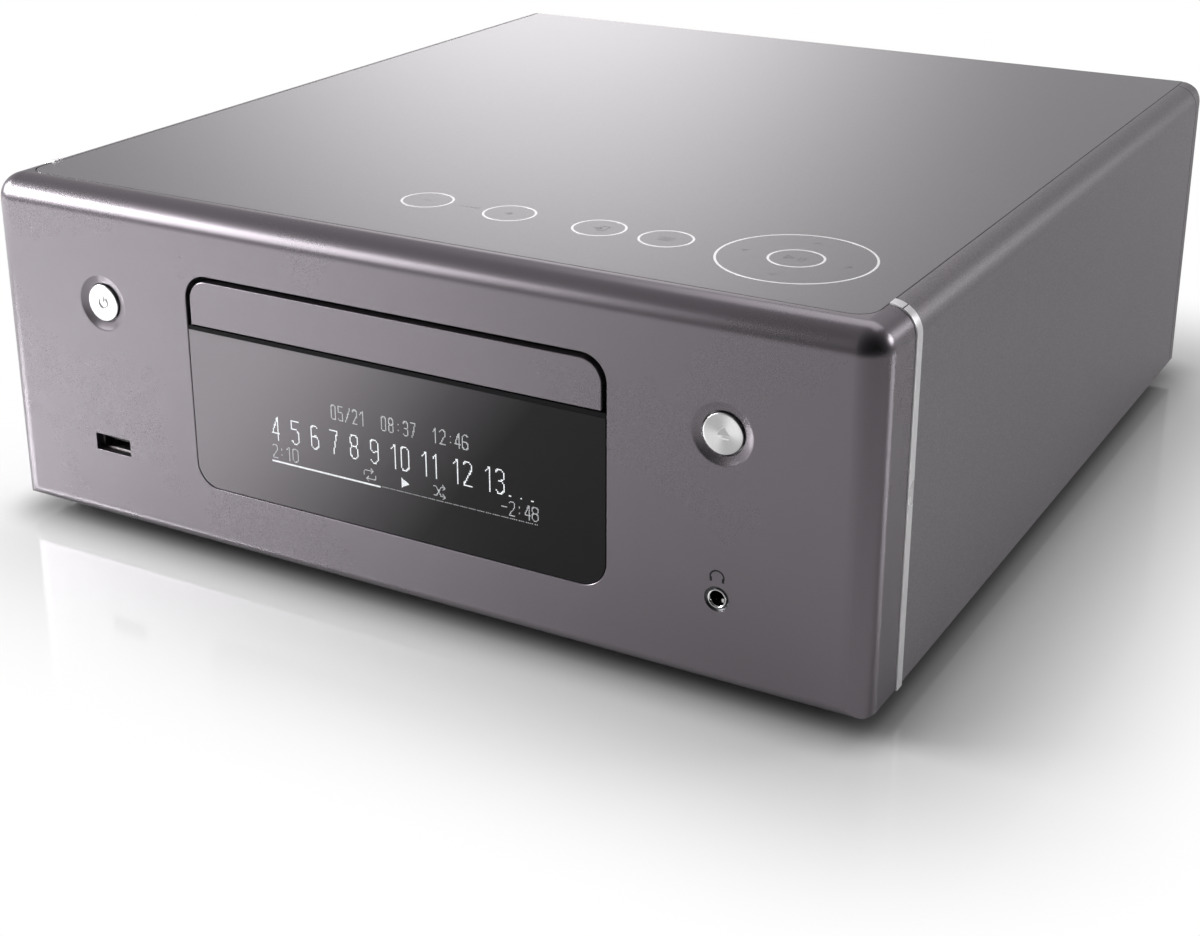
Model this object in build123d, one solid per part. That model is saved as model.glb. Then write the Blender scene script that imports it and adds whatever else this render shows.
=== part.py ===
"""Mini hifi system: a desktop compact-disc receiver as an assembly of separate pieces.

Frame: X to the right seen from the front, the front faces -Y, Z up, millimetres.
The origin is the middle of the footprint, on the surface that the feet stand on.
"""
import math
import os

from build123d import *

# ---------------------------------------------------------------- driving dimensions
# Casing
OVERALL_WIDTH = 280.0
OVERALL_HEIGHT = 108.0
BODY_DEPTH = 298.0
TERMINAL_REACH = 7.0          # how far the speaker terminals stand out behind the casing
TRIM_PROUD = 0.4              # how far the metal trim band stands proud of the casing
UNDERSIDE_Z = 6.0             # lower edge of the casing
EDGE_RADIUS = 7.5             # upper front edge, shoulders and upright front edges
SMALL_EDGE_RADIUS = 4.0       # lower front edge, lower and upright rear edges
FRONT_WALL = 3.0
CABINET_WALL = 1.2
PLATE_THICKNESS = 4.0         # glossy top plate
PLATE_LEDGE = 7.3             # casing shoulder left beside the top plate
PLATE_SETBACK = 8.8           # from the front face to the plate's front edge
PLATE_CORNER = 6.0
PLATE_GAP = 0.25
TRIM_SETBACK = 19.9
TRIM_WIDTH = 3.5
TRIM_CHAMFER = 0.3
REAR_BEZEL_DEPTH = 8.0
REAR_BEZEL_BORDER = 8.5
REAR_PANEL_THICKNESS = 1.5
PAN_THICKNESS = 1.2
PAN_GAP = 0.3
PAN_FLANGE = 12.0
CABINET_LIP = 10.0
LIP_THICKNESS = 1.2
FOOT_RADIUS = 14.0

# Faces of the casing: other places are measured from these
HALF_WIDTH = OVERALL_WIDTH / 2
BODY_HALF_WIDTH = HALF_WIDTH - TRIM_PROUD
BODY_TOP_Z = OVERALL_HEIGHT - TRIM_PROUD
PLATE_BOTTOM_Z = BODY_TOP_Z - PLATE_THICKNESS
FRONT_Y = -(BODY_DEPTH + TERMINAL_REACH) / 2
REAR_Y = FRONT_Y + BODY_DEPTH
CABINET_BACK_Y = REAR_Y - REAR_BEZEL_DEPTH
PANEL_BACK_Y = CABINET_BACK_Y - REAR_PANEL_THICKNESS
FOOT_X = HALF_WIDTH - 36.0
FOOT_FRONT_Y = FRONT_Y + 44.5
FOOT_REAR_Y = CABINET_BACK_Y - 33.5

# Front opening, tray door and display window
OPENING_HALF_WIDTH = 67.3
OPENING_BOTTOM_Z = UNDERSIDE_Z + 18.7
OPENING_TOP_Z = BODY_TOP_Z - 18.9
OPENING_CORNER = 7.5
DOOR_GAP = 1.5
DOOR_BOTTOM_Z = OPENING_TOP_Z - 14.7
DOOR_THICKNESS = 2.7
DIVIDER_BAR_TOP_Z = DOOR_BOTTOM_Z - 0.4
WINDOW_TOP_Z = DIVIDER_BAR_TOP_Z - 1.2
WINDOW_GAP = 0.2
WINDOW_RECESS = 0.1
SURROUND_THICKNESS = 2.5
SURROUND_BORDER = 4.0
RUN_GAP = 0.3                 # plain gap between pieces that move past each other

# Buttons
BUTTON_X = HALF_WIDTH - 40.9
BUTTON_Z = DOOR_BOTTOM_Z + 0.5
BUTTON_RADIUS = 5.45
BUTTON_RIM_GAP = 0.35
BUTTON_TRAVEL = 1.2
BUTTON_FLANGE_RADIUS = 7.0
BUTTON_FLANGE = 1.2
BUTTON_SETBACK = 0.6
DIMPLE_RADIUS = 8.75
DIMPLE_DEPTH = 1.8
SWITCH_SIZE = 6.0
SWITCH_HEIGHT = 2.5
BOARD_THICKNESS = 1.6
BUTTON_STEM = 1.8
TOUCH_BOARD = (-28.0, HALF_WIDTH - 16.0, FRONT_Y + 25.5, FRONT_Y + 63.5)      # x and y limits
DISPLAY_PANEL = (-52.0, 52.0, OPENING_BOTTOM_Z + 8.3, WINDOW_TOP_Z - 9.4)     # x and z limits

# Front sockets
USB_X = 40.5 - HALF_WIDTH
USB_Z = UNDERSIDE_Z + 24.4
USB_WIDTH = 12.5
USB_HEIGHT = 4.6
USB_SHELL = 0.3
USB_DEPTH = 14.0
USB_TONGUE_WIDTH = 11.1
USB_TONGUE_HEIGHT = 1.8
JACK_X = HALF_WIDTH - 41.2
JACK_Z = UNDERSIDE_Z + 24.3
JACK_BORE = 3.6
JACK_COLLAR = 5.6
JACK_PANEL_HOLE = 6.8
JACK_BODY = (11.0, 12.0, 7.0)

# Disc loader
DISC_DIAMETER = 120.0
DISC_CLEARANCE = 0.5
SMALL_DISC_DIAMETER = 80.0
DISC_Y = FRONT_Y + 73.5       # disc centre with the tray shut
TRAY_HALF_WIDTH = 63.9
TRAY_BOTTOM_Z = DOOR_BOTTOM_Z + 1.3
TRAY_HEIGHT = 10.0
TRAY_REAR_Y = DISC_Y + 101.0
TRAY_TRAVEL = 136.0
TRAY_WALL = 3.0
TRAY_POCKET = 4.0             # open underside of the tray, where the rack runs
DISC_RECESS = 4.0
SMALL_DISC_RECESS = 1.0
CHASSIS_WALL_GAP = 0.6
CHASSIS_WALL = 3.0
CHASSIS_FLOOR_Z = TRAY_BOTTOM_Z - 8.3
CHASSIS_FLOOR = 2.0
CHASSIS_TOP_Z = TRAY_BOTTOM_Z + 14.7
CHASSIS_REAR_Y = TRAY_REAR_Y + 18.0
EAR_Y = (DISC_Y - 21.0, TRAY_REAR_Y)    # fixing ears, front and rear
BRACKET_X = 74.0
BRACKET_FLANGE = 9.0
BRACKET_Y = (FRONT_Y + 37.5, CHASSIS_REAR_Y - 5.0)
BRACKET_WINDOW = 28.0
BRACKET_WINDOW_PITCH = 50.0

# Loader gears: a rack under the tray, a two-step gear, a pulley gear, a belt and a motor
RACK_PITCH_X = 53.0
RACK_BACK_X = 57.0
RACK_MODULE = 1.0
PINION_TEETH = 20
PINION_Y = FRONT_Y + 28.5
PINION_BOTTOM_Z = TRAY_BOTTOM_Z + 0.2
PINION_FACE = 3.4
WHEEL_MODULE = 0.8
WHEEL_TEETH = 40
WHEEL_BOTTOM_Z = CHASSIS_FLOOR_Z + 3.0
WHEEL_FACE = 3.0
DRIVER_TEETH = 18
DRIVER_Y = PINION_Y - 6.0
PULLEY_PITCH_RADIUS = 11.0
MOTOR_PULLEY_PITCH_RADIUS = 4.0
MOTOR_X = -24.0
PULLEY_BOTTOM_Z = TRAY_BOTTOM_Z - 0.1
PULLEY_FACE = 3.2
BELT_SIZE = 1.2
BACKLASH = 0.2
PRESSURE_ANGLE = 20.0
STUD_RADIUS = 2.0
BEARING_GAP = 0.05            # radial running fit on studs and shafts
LOADING_MOTOR_RADIUS = 10.0
LOADING_MOTOR_HEIGHT = 15.0
MOTOR_SHAFT_RADIUS = 1.0

# Traverse: the plate that carries the turntable and the pickup, tilted down at rest
TILT = 6.0
PIVOT_Y = TRAY_REAR_Y - 10.0
PIVOT_Z = CHASSIS_FLOOR_Z + 4.75
PIVOT_PIN_RADIUS = 1.5
TRAVERSE_HALF_WIDTH = 36.0
TRAVERSE_FRONT_Y = DISC_Y - 33.0
TRAVERSE_STEP_Y = TRAVERSE_FRONT_Y + 8.0
TRAVERSE_NOSE_HALF_WIDTH = 26.0
TRAVERSE_THICKNESS = 1.5
SPINDLE_MOTOR_RADIUS = 12.0
SPINDLE_MOTOR_HEIGHT = 7.2
TURNTABLE_RADIUS = 14.5
TURNTABLE_CONE_RADIUS = 7.3
ROD_X = 16.0
ROD_RADIUS = 1.5
ROD_RISE = 3.0
SLED_START_Y = DISC_Y + 13.0
SLED_LENGTH = 26.0
SLED_TRAVEL = 34.0
SLED_HALF_WIDTH = 20.0
SLED_GEAR_MODULE = 0.6
SLED_GEAR_TEETH = 18
SLED_GEAR_Y = SLED_START_Y + 37.0
SLED_RACK_X = 21.5
CAM_TRAVEL = 20.0
CAM_PIN_X = (-4.0, 20.0)
CAM_PIN_Z = CHASSIS_FLOOR_Z - 7.0       # height of the cam pins with the traverse raised
CAM_PIN_RADIUS = 1.5
CAM_SLOT = 4.0
CAM_THICKNESS = 2.0
CAM_REAR_Y = TRAVERSE_FRONT_Y - 1.6
CAM_BOTTOM_Z = CHASSIS_FLOOR_Z - 24.0

# Clamp over the disc
BRIDGE_THICKNESS = 1.5
BRIDGE_WIDTH = 30.0
CLAMPER_RADIUS = 14.0
CLAMPER_NECK_RADIUS = 10.0

# Boards and power
MAIN_BOARD_Z = 28.0
MAIN_BOARD = (-62.0, HALF_WIDTH - 8.0, CHASSIS_REAR_Y + 6.0, PANEL_BACK_Y - 6.0)
CHIP_HEIGHT = 2.2
CAPACITOR_HEIGHT = 11.0
POWER_BOARD_Z = 16.0
POWER_BOARD = (8.0 - HALF_WIDTH, -BRACKET_X - BRACKET_FLANGE - 1.0, DISC_Y + 1.0, PANEL_BACK_Y - 8.0)
FILTER_RADIUS = 10.0          # the two large filter capacitors
FILTER_HEIGHT = 32.0
TRANSFORMER_LENGTH = 54.0
TRANSFORMER_BASE = 6.0        # height of the core above the board
CORE_HEIGHT = 36.0
WINDING_RISE = 8.0            # how far the winding stands above the core
STANDOFF_RADIUS = 3.0
HEATSINK_X = (HALF_WIDTH - 74.0, HALF_WIDTH - 16.0)
HEATSINK_Y = PANEL_BACK_Y - 44.0
HEATSINK_BASE = 4.0
HEATSINK_DEPTH = 22.0
HEATSINK_HEIGHT = 44.0
HEATSINK_PITCH = 6.0
RIBBON_WIDTH = 20.0
RIBBON_THICKNESS = 0.4

# Rear connectors: x, z of each on the rear panel
TERMINAL_X = (HALF_WIDTH - 52.0, HALF_WIDTH - 33.0)
TERMINAL_Z = (38.0, 58.0)
TERMINAL_STUD_RADIUS = 3.0
TERMINAL_BORE_RADIUS = 2.05
TERMINAL_CAP_RADIUS = 6.5
TERMINAL_FLUTES = 12
LINE_JACK_X = (16.0, 34.0)
LINE_JACK_Z = (40.0, 58.0)
NETWORK_X = -24.0
NETWORK_SIZE = (16.0, 21.0, 13.5)
NETWORK_OPENING = (11.8, 8.0)
ANTENNA_X = -58.0
ANTENNA_Z = 46.0
INLET_X = 32.0 - HALF_WIDTH
INLET_Z = 40.0
INLET_SIZE = (30.0, 24.0, 18.0)
INLET_LOBE_RADIUS = 4.6
SCREW_X = (16.0 - HALF_WIDTH, 0.0, HALF_WIDTH - 16.0)
SCREW_Z = (20.0, PLATE_BOTTOM_Z - 12.6)
VENT_Z = (PLATE_BOTTOM_Z - 29.6, PLATE_BOTTOM_Z - 15.6)
VENT_PITCH = 12.0
VENT_WIDTH = 3.0
SCREW_RADIUS = 1.4

# ---------------------------------------------------------------- sizes that follow
TERMINAL_END_Y = REAR_Y + TERMINAL_REACH
FRONT_BACK_Y = FRONT_Y + TRIM_SETBACK
TRIM_BACK_Y = FRONT_BACK_Y + TRIM_WIDTH
PANEL_FACE_Y = CABINET_BACK_Y
TERMINAL_PLATE_Y = PANEL_FACE_Y + 2.5
PLATE_HALF_WIDTH = BODY_HALF_WIDTH - PLATE_LEDGE
PLATE_FRONT_Y = FRONT_Y + PLATE_SETBACK
INNER_FRONT_Y = FRONT_Y + FRONT_WALL
CAVITY_TOP_Z = PLATE_BOTTOM_Z - FRONT_WALL
SURROUND_BACK_Y = INNER_FRONT_Y + SURROUND_THICKNESS
DISPLAY_BOARD_Y = SURROUND_BACK_Y + 1.2
SOCKET_PILLAR_Y = INNER_FRONT_Y + 11.5
DOOR_BACK_Y = FRONT_Y + DOOR_THICKNESS
DOOR_HALF_WIDTH = OPENING_HALF_WIDTH - DOOR_GAP
DOOR_TOP_Z = OPENING_TOP_Z - DOOR_GAP
TRAY_TOP_Z = TRAY_BOTTOM_Z + TRAY_HEIGHT
TRAY_FLOOR_Z = TRAY_TOP_Z - DISC_RECESS
CHASSIS_INNER_X = TRAY_HALF_WIDTH + CHASSIS_WALL_GAP
CHASSIS_OUTER_X = CHASSIS_INNER_X + CHASSIS_WALL
CHASSIS_FLOOR_TOP_Z = CHASSIS_FLOOR_Z + CHASSIS_FLOOR
PINION_X = RACK_PITCH_X - RACK_MODULE * PINION_TEETH / 2
WHEEL_RADIUS = WHEEL_MODULE * WHEEL_TEETH / 2
DRIVER_DISTANCE = WHEEL_RADIUS + WHEEL_MODULE * DRIVER_TEETH / 2
DRIVER_X = PINION_X - math.sqrt(DRIVER_DISTANCE**2 - (DRIVER_Y - PINION_Y) ** 2)
DRIVER_DIRECTION = math.degrees(math.atan2(DRIVER_Y - PINION_Y, DRIVER_X - PINION_X))
PLATE_TOP_OF_TRAVERSE = PIVOT_Z + TRAVERSE_THICKNESS / 2
SLED_GEAR_X = SLED_RACK_X + SLED_GEAR_MODULE * SLED_GEAR_TEETH / 2
SOCKET_BOARD_Z = USB_Z - USB_HEIGHT / 2 - USB_SHELL - BOARD_THICKNESS
PAN_BOTTOM_Z = UNDERSIDE_Z + LIP_THICKNESS
PAN_TOP_Z = PAN_BOTTOM_Z + PAN_THICKNESS
PAN_HALF_WIDTH = BODY_HALF_WIDTH - CABINET_WALL - PAN_GAP


# ---------------------------------------------------------------- shape helpers
def block(x0, x1, y0, y1, z0, z1):
    """Return a box between two corners."""
    centre = Pos((x0 + x1) / 2, (y0 + y1) / 2, (z0 + z1) / 2)
    return centre * Box(x1 - x0, y1 - y0, z1 - z0)


def post(x, y, radius, z0, z1):
    """Return an upright cylinder."""
    return Pos(x, y, (z0 + z1) / 2) * Cylinder(radius, z1 - z0)


def pin_y(x, z, radius, y0, y1):
    """Return a cylinder that runs front to back."""
    return Pos(x, (y0 + y1) / 2, z) * Rot(90, 0, 0) * Cylinder(radius, y1 - y0)


def pin_x(y, z, radius, x0, x1):
    """Return a cylinder that runs left to right."""
    return Pos((x0 + x1) / 2, y, z) * Rot(0, 90, 0) * Cylinder(radius, x1 - x0)


def along_y(sketch, y0, y1):
    """Extrude an X-Z section from y0 back to y1."""
    plane = Plane(origin=(0, y1, 0), x_dir=(1, 0, 0), z_dir=(0, -1, 0))
    return extrude(plane * sketch, amount=y1 - y0)


def along_z(sketch, z0, z1):
    """Extrude an X-Y outline from z0 up to z1."""
    return extrude(Plane.XY.offset(z0) * sketch, amount=z1 - z0)


def along_x(sketch, x0, x1):
    """Extrude a Y-Z section from x0 to x1."""
    return extrude(Plane.YZ.offset(x0) * sketch, amount=x1 - x0)


def rounded_window(half_width, z0, z1, radius):
    """Return a rounded X-Z rectangle centred on the Y-Z plane."""
    return Pos(0, (z0 + z1) / 2) * RectangleRounded(2 * half_width, z1 - z0, radius)


def body_form(outset=0.0):
    """Return the solid form of the whole casing, grown by outset (negative: inside a wall)."""
    half = BODY_HALF_WIDTH + outset
    radius = EDGE_RADIUS + outset
    form = block(-half, half, FRONT_Y - outset, REAR_Y, UNDERSIDE_Z, BODY_TOP_Z + outset)
    shoulders = form.edges().filter_by(Axis.Y).group_by(Axis.Z)[-1]
    front_edges = form.faces().sort_by(Axis.Y)[0].edges()
    front_edges = front_edges.filter_by(lambda edge: edge.center().Z > UNDERSIDE_Z + 1)
    return fillet(shoulders + front_edges, radius)


def slab(y0, y1):
    """Return a block that takes in everything between two planes across the casing."""
    reach = OVERALL_WIDTH
    return block(-reach, reach, y0, y1, -OVERALL_HEIGHT, 2 * OVERALL_HEIGHT)


def lower_rounding(y, side):
    """Return what the rounding takes off the lower edge at the front (side -1) or rear (side 1)."""
    radius = SMALL_EDGE_RADIUS
    reach = OVERALL_WIDTH
    axis_y = y - side * radius
    beyond = y + side * radius
    corner = block(
        -reach, reach, min(axis_y, beyond), max(axis_y, beyond), UNDERSIDE_Z - radius, UNDERSIDE_Z + radius
    )
    return corner - pin_x(axis_y, UNDERSIDE_Z + radius, radius, -reach - 1, reach + 1)


def upright_rounding(side):
    """Return what the rounding takes off one upright rear edge."""
    radius = SMALL_EDGE_RADIUS
    axis_x = side * (BODY_HALF_WIDTH - radius)
    beyond = side * (BODY_HALF_WIDTH + radius)
    axis_y = REAR_Y - radius
    corner = block(
        min(axis_x, beyond), max(axis_x, beyond), axis_y, REAR_Y + radius, 0, 2 * OVERALL_HEIGHT
    )
    return corner - post(axis_x, axis_y, radius, -1, 2 * OVERALL_HEIGHT + 1)


def plate_outline(gap=0.0):
    """Return the outline of the top plate, grown by a gap, as an X-Y sketch."""
    width = 2 * (PLATE_HALF_WIDTH + gap)
    front = PLATE_FRONT_Y - gap
    outline = Pos(0, (front + REAR_Y) / 2) * Rectangle(width, REAR_Y - front)
    corners = outline.vertices().group_by(Axis.Y)[0]
    return fillet(corners, PLATE_CORNER + gap)


def plate_pocket():
    """Return the space that the top plate drops into."""
    return along_z(plate_outline(PLATE_GAP), PLATE_BOTTOM_Z, OVERALL_HEIGHT + EDGE_RADIUS)


# ---------------------------------------------------------------- casing
def button_hole(x):
    """Return the dished recess and the through hole of one button."""
    ball = (DIMPLE_RADIUS**2 + DIMPLE_DEPTH**2) / (2 * DIMPLE_DEPTH)
    dish = Pos(x, FRONT_Y - ball + DIMPLE_DEPTH, BUTTON_Z) * Sphere(ball)
    hole = pin_y(x, BUTTON_Z, BUTTON_RADIUS + BUTTON_RIM_GAP, FRONT_Y - 1, INNER_FRONT_Y + 1)
    return dish + hole


def make_front_panel():
    """The moulded front: one shell with the tray and window opening, dishes and socket holes."""
    shell = body_form() & slab(FRONT_Y, FRONT_BACK_Y)
    cavity_half = BODY_HALF_WIDTH - FRONT_WALL
    cavity = block(
        -cavity_half, cavity_half, INNER_FRONT_Y, FRONT_BACK_Y + 1, UNDERSIDE_Z + FRONT_WALL, CAVITY_TOP_Z
    )
    cavity = fillet(cavity.edges().filter_by(Axis.Y), EDGE_RADIUS - FRONT_WALL)
    panel = shell - cavity - plate_pocket()
    panel -= lower_rounding(FRONT_Y, -1)
    opening = rounded_window(OPENING_HALF_WIDTH, OPENING_BOTTOM_Z, OPENING_TOP_Z, OPENING_CORNER)
    panel -= along_y(opening, FRONT_Y - 1, INNER_FRONT_Y + 1)
    for side in (-1, 1):
        panel -= button_hole(side * BUTTON_X)
    usb = Pos(USB_X, USB_Z) * RectangleRounded(
        USB_WIDTH + 2 * USB_SHELL, USB_HEIGHT + 2 * USB_SHELL, 0.5
    )
    panel -= along_y(usb, FRONT_Y - 1, INNER_FRONT_Y + 1)
    panel -= pin_y(JACK_X, JACK_Z, JACK_PANEL_HOLE / 2, FRONT_Y - 1, INNER_FRONT_Y + 1)
    return panel + front_panel_bosses()


def front_panel_bosses():
    """Inside of the front panel: switch bosses, board pillars, ribs and the rear tongues."""
    inside = None
    floor_z = UNDERSIDE_Z + FRONT_WALL
    switch_board_y = INNER_FRONT_Y + switch_board_depth()
    parts = []
    for side in (-1, 1):
        for offset in (-10.5, 10.5):
            parts.append(pin_y(side * BUTTON_X, BUTTON_Z + offset, 2.5, INNER_FRONT_Y, switch_board_y))
        for offset in (-9.0, 9.0):
            parts.append(
                post(side * abs(USB_X) + offset, SOCKET_PILLAR_Y, 2.5, floor_z, SOCKET_BOARD_Z)
            )
        inner_rib = (OPENING_HALF_WIDTH + SURROUND_BORDER + BUTTON_X) / 2 - 5.2
        for rib_x, rib_z in ((inner_rib, SOCKET_BOARD_Z + 12.0), (HALF_WIDTH - 18.0, floor_z)):
            near = min(side * rib_x, side * (rib_x + 1.5))
            parts.append(block(near, near + 1.5, INNER_FRONT_Y, INNER_FRONT_Y + 5, rib_z, CAVITY_TOP_Z))
        for tongue_x in (60.0, HALF_WIDTH - 22.0):
            middle = side * tongue_x
            parts.append(
                block(middle - 9, middle + 9, FRONT_BACK_Y - 4, TRIM_BACK_Y + 7, PAN_TOP_Z, PAN_TOP_Z + 2)
            )
    for piece in parts:
        inside = piece if inside is None else inside + piece
    return inside


def switch_board_depth():
    """Distance from the inner face of the front wall to the front of a switch board."""
    plunger = BUTTON_TRAVEL + RUN_GAP
    return RUN_GAP + BUTTON_FLANGE + BUTTON_STEM + plunger + SWITCH_HEIGHT


def make_trim_band():
    """The bright metal band: an inverted U round the casing that dips under the top plate."""
    band = body_form(TRIM_PROUD) & slab(FRONT_BACK_Y, TRIM_BACK_Y)
    half = BODY_HALF_WIDTH - FRONT_WALL
    inner = Pos(0, (UNDERSIDE_Z - 20 + CAVITY_TOP_Z) / 2) * Rectangle(
        2 * half, CAVITY_TOP_Z - UNDERSIDE_Z + 20
    )
    inner = fillet(inner.vertices().group_by(Axis.Y)[-1], EDGE_RADIUS - FRONT_WALL)
    band -= along_y(inner, FRONT_BACK_Y - 1, TRIM_BACK_Y + 1)
    outer = band.edges().filter_by(lambda edge: edge.center().Y < FRONT_BACK_Y + 0.01)
    proud = BODY_HALF_WIDTH + TRIM_PROUD / 2
    outer = outer.filter_by(
        lambda edge: max(abs(edge.center().X) - proud, edge.center().Z - BODY_TOP_Z) > 0
    )
    band = chamfer(outer, TRIM_CHAMFER)
    return band - plate_pocket()


def make_cabinet():
    """The wrap-over cabinet: two sides with folded lips and a recessed top for the plate."""
    form = body_form() & slab(TRIM_BACK_Y, CABINET_BACK_Y)
    half = BODY_HALF_WIDTH - CABINET_WALL
    top = PLATE_BOTTOM_Z - CABINET_WALL
    inner = Pos(0, (PAN_BOTTOM_Z + top) / 2) * Rectangle(2 * half, top - PAN_BOTTOM_Z)
    inner = fillet(inner.vertices().group_by(Axis.Y)[-1], EDGE_RADIUS - CABINET_WALL)
    cabinet = form - along_y(inner, TRIM_BACK_Y - 1, CABINET_BACK_Y + 1)
    lip_edge = half - CABINET_LIP
    cabinet -= block(
        -lip_edge, lip_edge, TRIM_BACK_Y - 1, CABINET_BACK_Y + 1, UNDERSIDE_Z - 1, PAN_BOTTOM_Z + 1
    )
    x0, x1, y0, y1 = TOUCH_BOARD
    gap = RUN_GAP
    cabinet -= block(x0 - gap, x1 + gap, y0 - gap, y1 + gap, top - 1, PLATE_BOTTOM_Z + 1)
    return cabinet - plate_pocket()


def make_rear_bezel():
    """The rear frame: a ring that closes the cabinet and holds the rear panel."""
    ring = body_form() & slab(CABINET_BACK_Y, REAR_Y)
    border = REAR_BEZEL_BORDER
    opening = rounded_window(
        BODY_HALF_WIDTH - border, UNDERSIDE_Z + border - 2, PLATE_BOTTOM_Z - 4, 3.0
    )
    ring -= along_y(opening, CABINET_BACK_Y - 1, REAR_Y + 1)
    for side in (-1, 1):
        ring -= upright_rounding(side)
    return ring - lower_rounding(REAR_Y, 1) - plate_pocket()


def make_top_plate():
    """The glossy plate let into the top."""
    plate = along_z(plate_outline(), PLATE_BOTTOM_Z, BODY_TOP_Z)
    rim = plate.faces().sort_by(Axis.Z)[-1].edges()
    return chamfer(rim, 0.25)


def make_base_pan():
    """The steel pan: floor with vent slots, side flanges, rear flange and board pillars."""
    half = PAN_HALF_WIDTH
    front = TRIM_BACK_Y + PAN_GAP
    pan = block(-half, half, front, PANEL_BACK_Y, PAN_BOTTOM_Z, PAN_TOP_Z)
    nose = BODY_HALF_WIDTH - FRONT_WALL - PAN_GAP
    pan += block(-nose, nose, FRONT_BACK_Y + PAN_GAP, front, PAN_BOTTOM_Z, PAN_TOP_Z)
    flange_top = PAN_TOP_Z + PAN_FLANGE
    for side in (-1, 1):
        outer = side * half
        inner = side * (half - PAN_THICKNESS)
        pan += block(min(outer, inner), max(outer, inner), front, PANEL_BACK_Y, PAN_BOTTOM_Z, flange_top)
    pan += block(-half, half, PANEL_BACK_Y - PAN_THICKNESS, PANEL_BACK_Y, PAN_BOTTOM_Z, flange_top)
    slots = Sketch() + [
        Pos(x, DISC_Y + y) * SlotOverall(34, 3.5, 90)
        for x in range(-60, 61, 10)
        for y in (9, 59, 109)
    ]
    pan -= along_z(slots, PAN_BOTTOM_Z - 1, PAN_TOP_Z + 1)
    for x in SCREW_X:
        pan -= pin_y(x, min(SCREW_Z), SCREW_RADIUS + BEARING_GAP, PANEL_BACK_Y - 3, PANEL_BACK_Y + 1)
    for x, y, top in pillar_places():
        pan += post(x, y, STANDOFF_RADIUS, PAN_TOP_Z, top)
    return pan


def pillar_places():
    """List x, y and top height of the pillars under the main and power boards."""
    places = []
    for board, top in ((MAIN_BOARD, MAIN_BOARD_Z), (POWER_BOARD, POWER_BOARD_Z)):
        x0, x1, y0, y1 = board
        for x in (x0 + 5, x1 - 5):
            for y in (y0 + 5, y1 - 8):
                places.append((x, y, top))
    return places


def make_foot(x, y):
    """One rubber foot: a turned form with a screw recess, pushed through the pan's underside."""
    profile = Polyline(
        (2.5, 2.0), (6.0, 2.0), (6.0, 0.0), (FOOT_RADIUS - 1.0, 0.0), (FOOT_RADIUS, 1.0),
        (FOOT_RADIUS - 1.5, PAN_BOTTOM_Z), (0.0, PAN_BOTTOM_Z), (0.0, 4.0), (2.5, 4.0), close=True
    )
    foot = revolve(Plane.XZ * make_face(profile), Axis.Z, 360)
    return Pos(x, y, 0) * foot


# ---------------------------------------------------------------- front fittings
def make_display_window():
    """The smoked window that fills the opening below the divider bar."""
    face = rounded_window(
        OPENING_HALF_WIDTH - WINDOW_GAP,
        OPENING_BOTTOM_Z + WINDOW_GAP,
        OPENING_TOP_Z,
        OPENING_CORNER - WINDOW_GAP,
    )
    window = along_y(face, FRONT_Y + WINDOW_RECESS, INNER_FRONT_Y)
    window -= block(
        -OVERALL_WIDTH, OVERALL_WIDTH, FRONT_Y - 1, INNER_FRONT_Y + 1, WINDOW_TOP_Z, OVERALL_HEIGHT
    )
    return window


def make_tray_surround():
    """The black frame behind the opening, with the tray slot, the divider bar and board posts."""
    half = OPENING_HALF_WIDTH + SURROUND_BORDER
    outline = rounded_window(
        half, OPENING_BOTTOM_Z - SURROUND_BORDER, OPENING_TOP_Z + SURROUND_BORDER, OPENING_CORNER
    )
    frame = along_y(outline, INNER_FRONT_Y, SURROUND_BACK_Y)
    slot = rounded_window(
        TRAY_HALF_WIDTH + 0.7, TRAY_BOTTOM_Z - 0.6, TRAY_TOP_Z + 0.7, 1.0
    )
    frame -= along_y(slot, INNER_FRONT_Y - 1, SURROUND_BACK_Y + 1)
    x0, x1, z0, z1 = DISPLAY_PANEL
    gap = RUN_GAP
    frame -= block(x0 - gap, x1 + gap, INNER_FRONT_Y - 1, SURROUND_BACK_Y + 1, z0 - gap, z1 + gap)
    bar_half = OPENING_HALF_WIDTH - WINDOW_GAP
    frame += block(
        -bar_half, bar_half, FRONT_Y + WINDOW_RECESS, INNER_FRONT_Y, WINDOW_TOP_Z, DIVIDER_BAR_TOP_Z
    )
    for x in (x0 - 3.5, x1 + 3.5):
        for z in (z0 + 2, z1 - 2):
            frame += pin_y(x, z, 2.0, SURROUND_BACK_Y, DISPLAY_BOARD_Y)
    return frame


def make_display_panel():
    """The flat display: a glass sandwich in a thin folded frame with a contact ledge."""
    x0, x1, z0, z1 = DISPLAY_PANEL
    glass = block(x0, x1, INNER_FRONT_Y + 0.2, DISPLAY_BOARD_Y, z0, z1)
    step = block(x0 - 1, x1 + 1, INNER_FRONT_Y - 1, INNER_FRONT_Y + 1.0, z0 - 1, z0 + 2.5)
    return glass - step


def make_display_board():
    """The circuit board behind the display, with its driver chip and ribbon connector."""
    x0, x1, z0, z1 = DISPLAY_PANEL
    back = DISPLAY_BOARD_Y + BOARD_THICKNESS
    board = block(x0 - 6, x1 + 6, DISPLAY_BOARD_Y, back, z0 - 3, z1 + 2)
    middle = (z0 + z1) / 2
    board += block(-24, -12, back, back + 1.4, middle - 5, middle + 7)
    for x in (20, 30, 40):
        board += block(x, x + 4, back, back + 1.0, middle - 3, middle)
    return board


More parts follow.
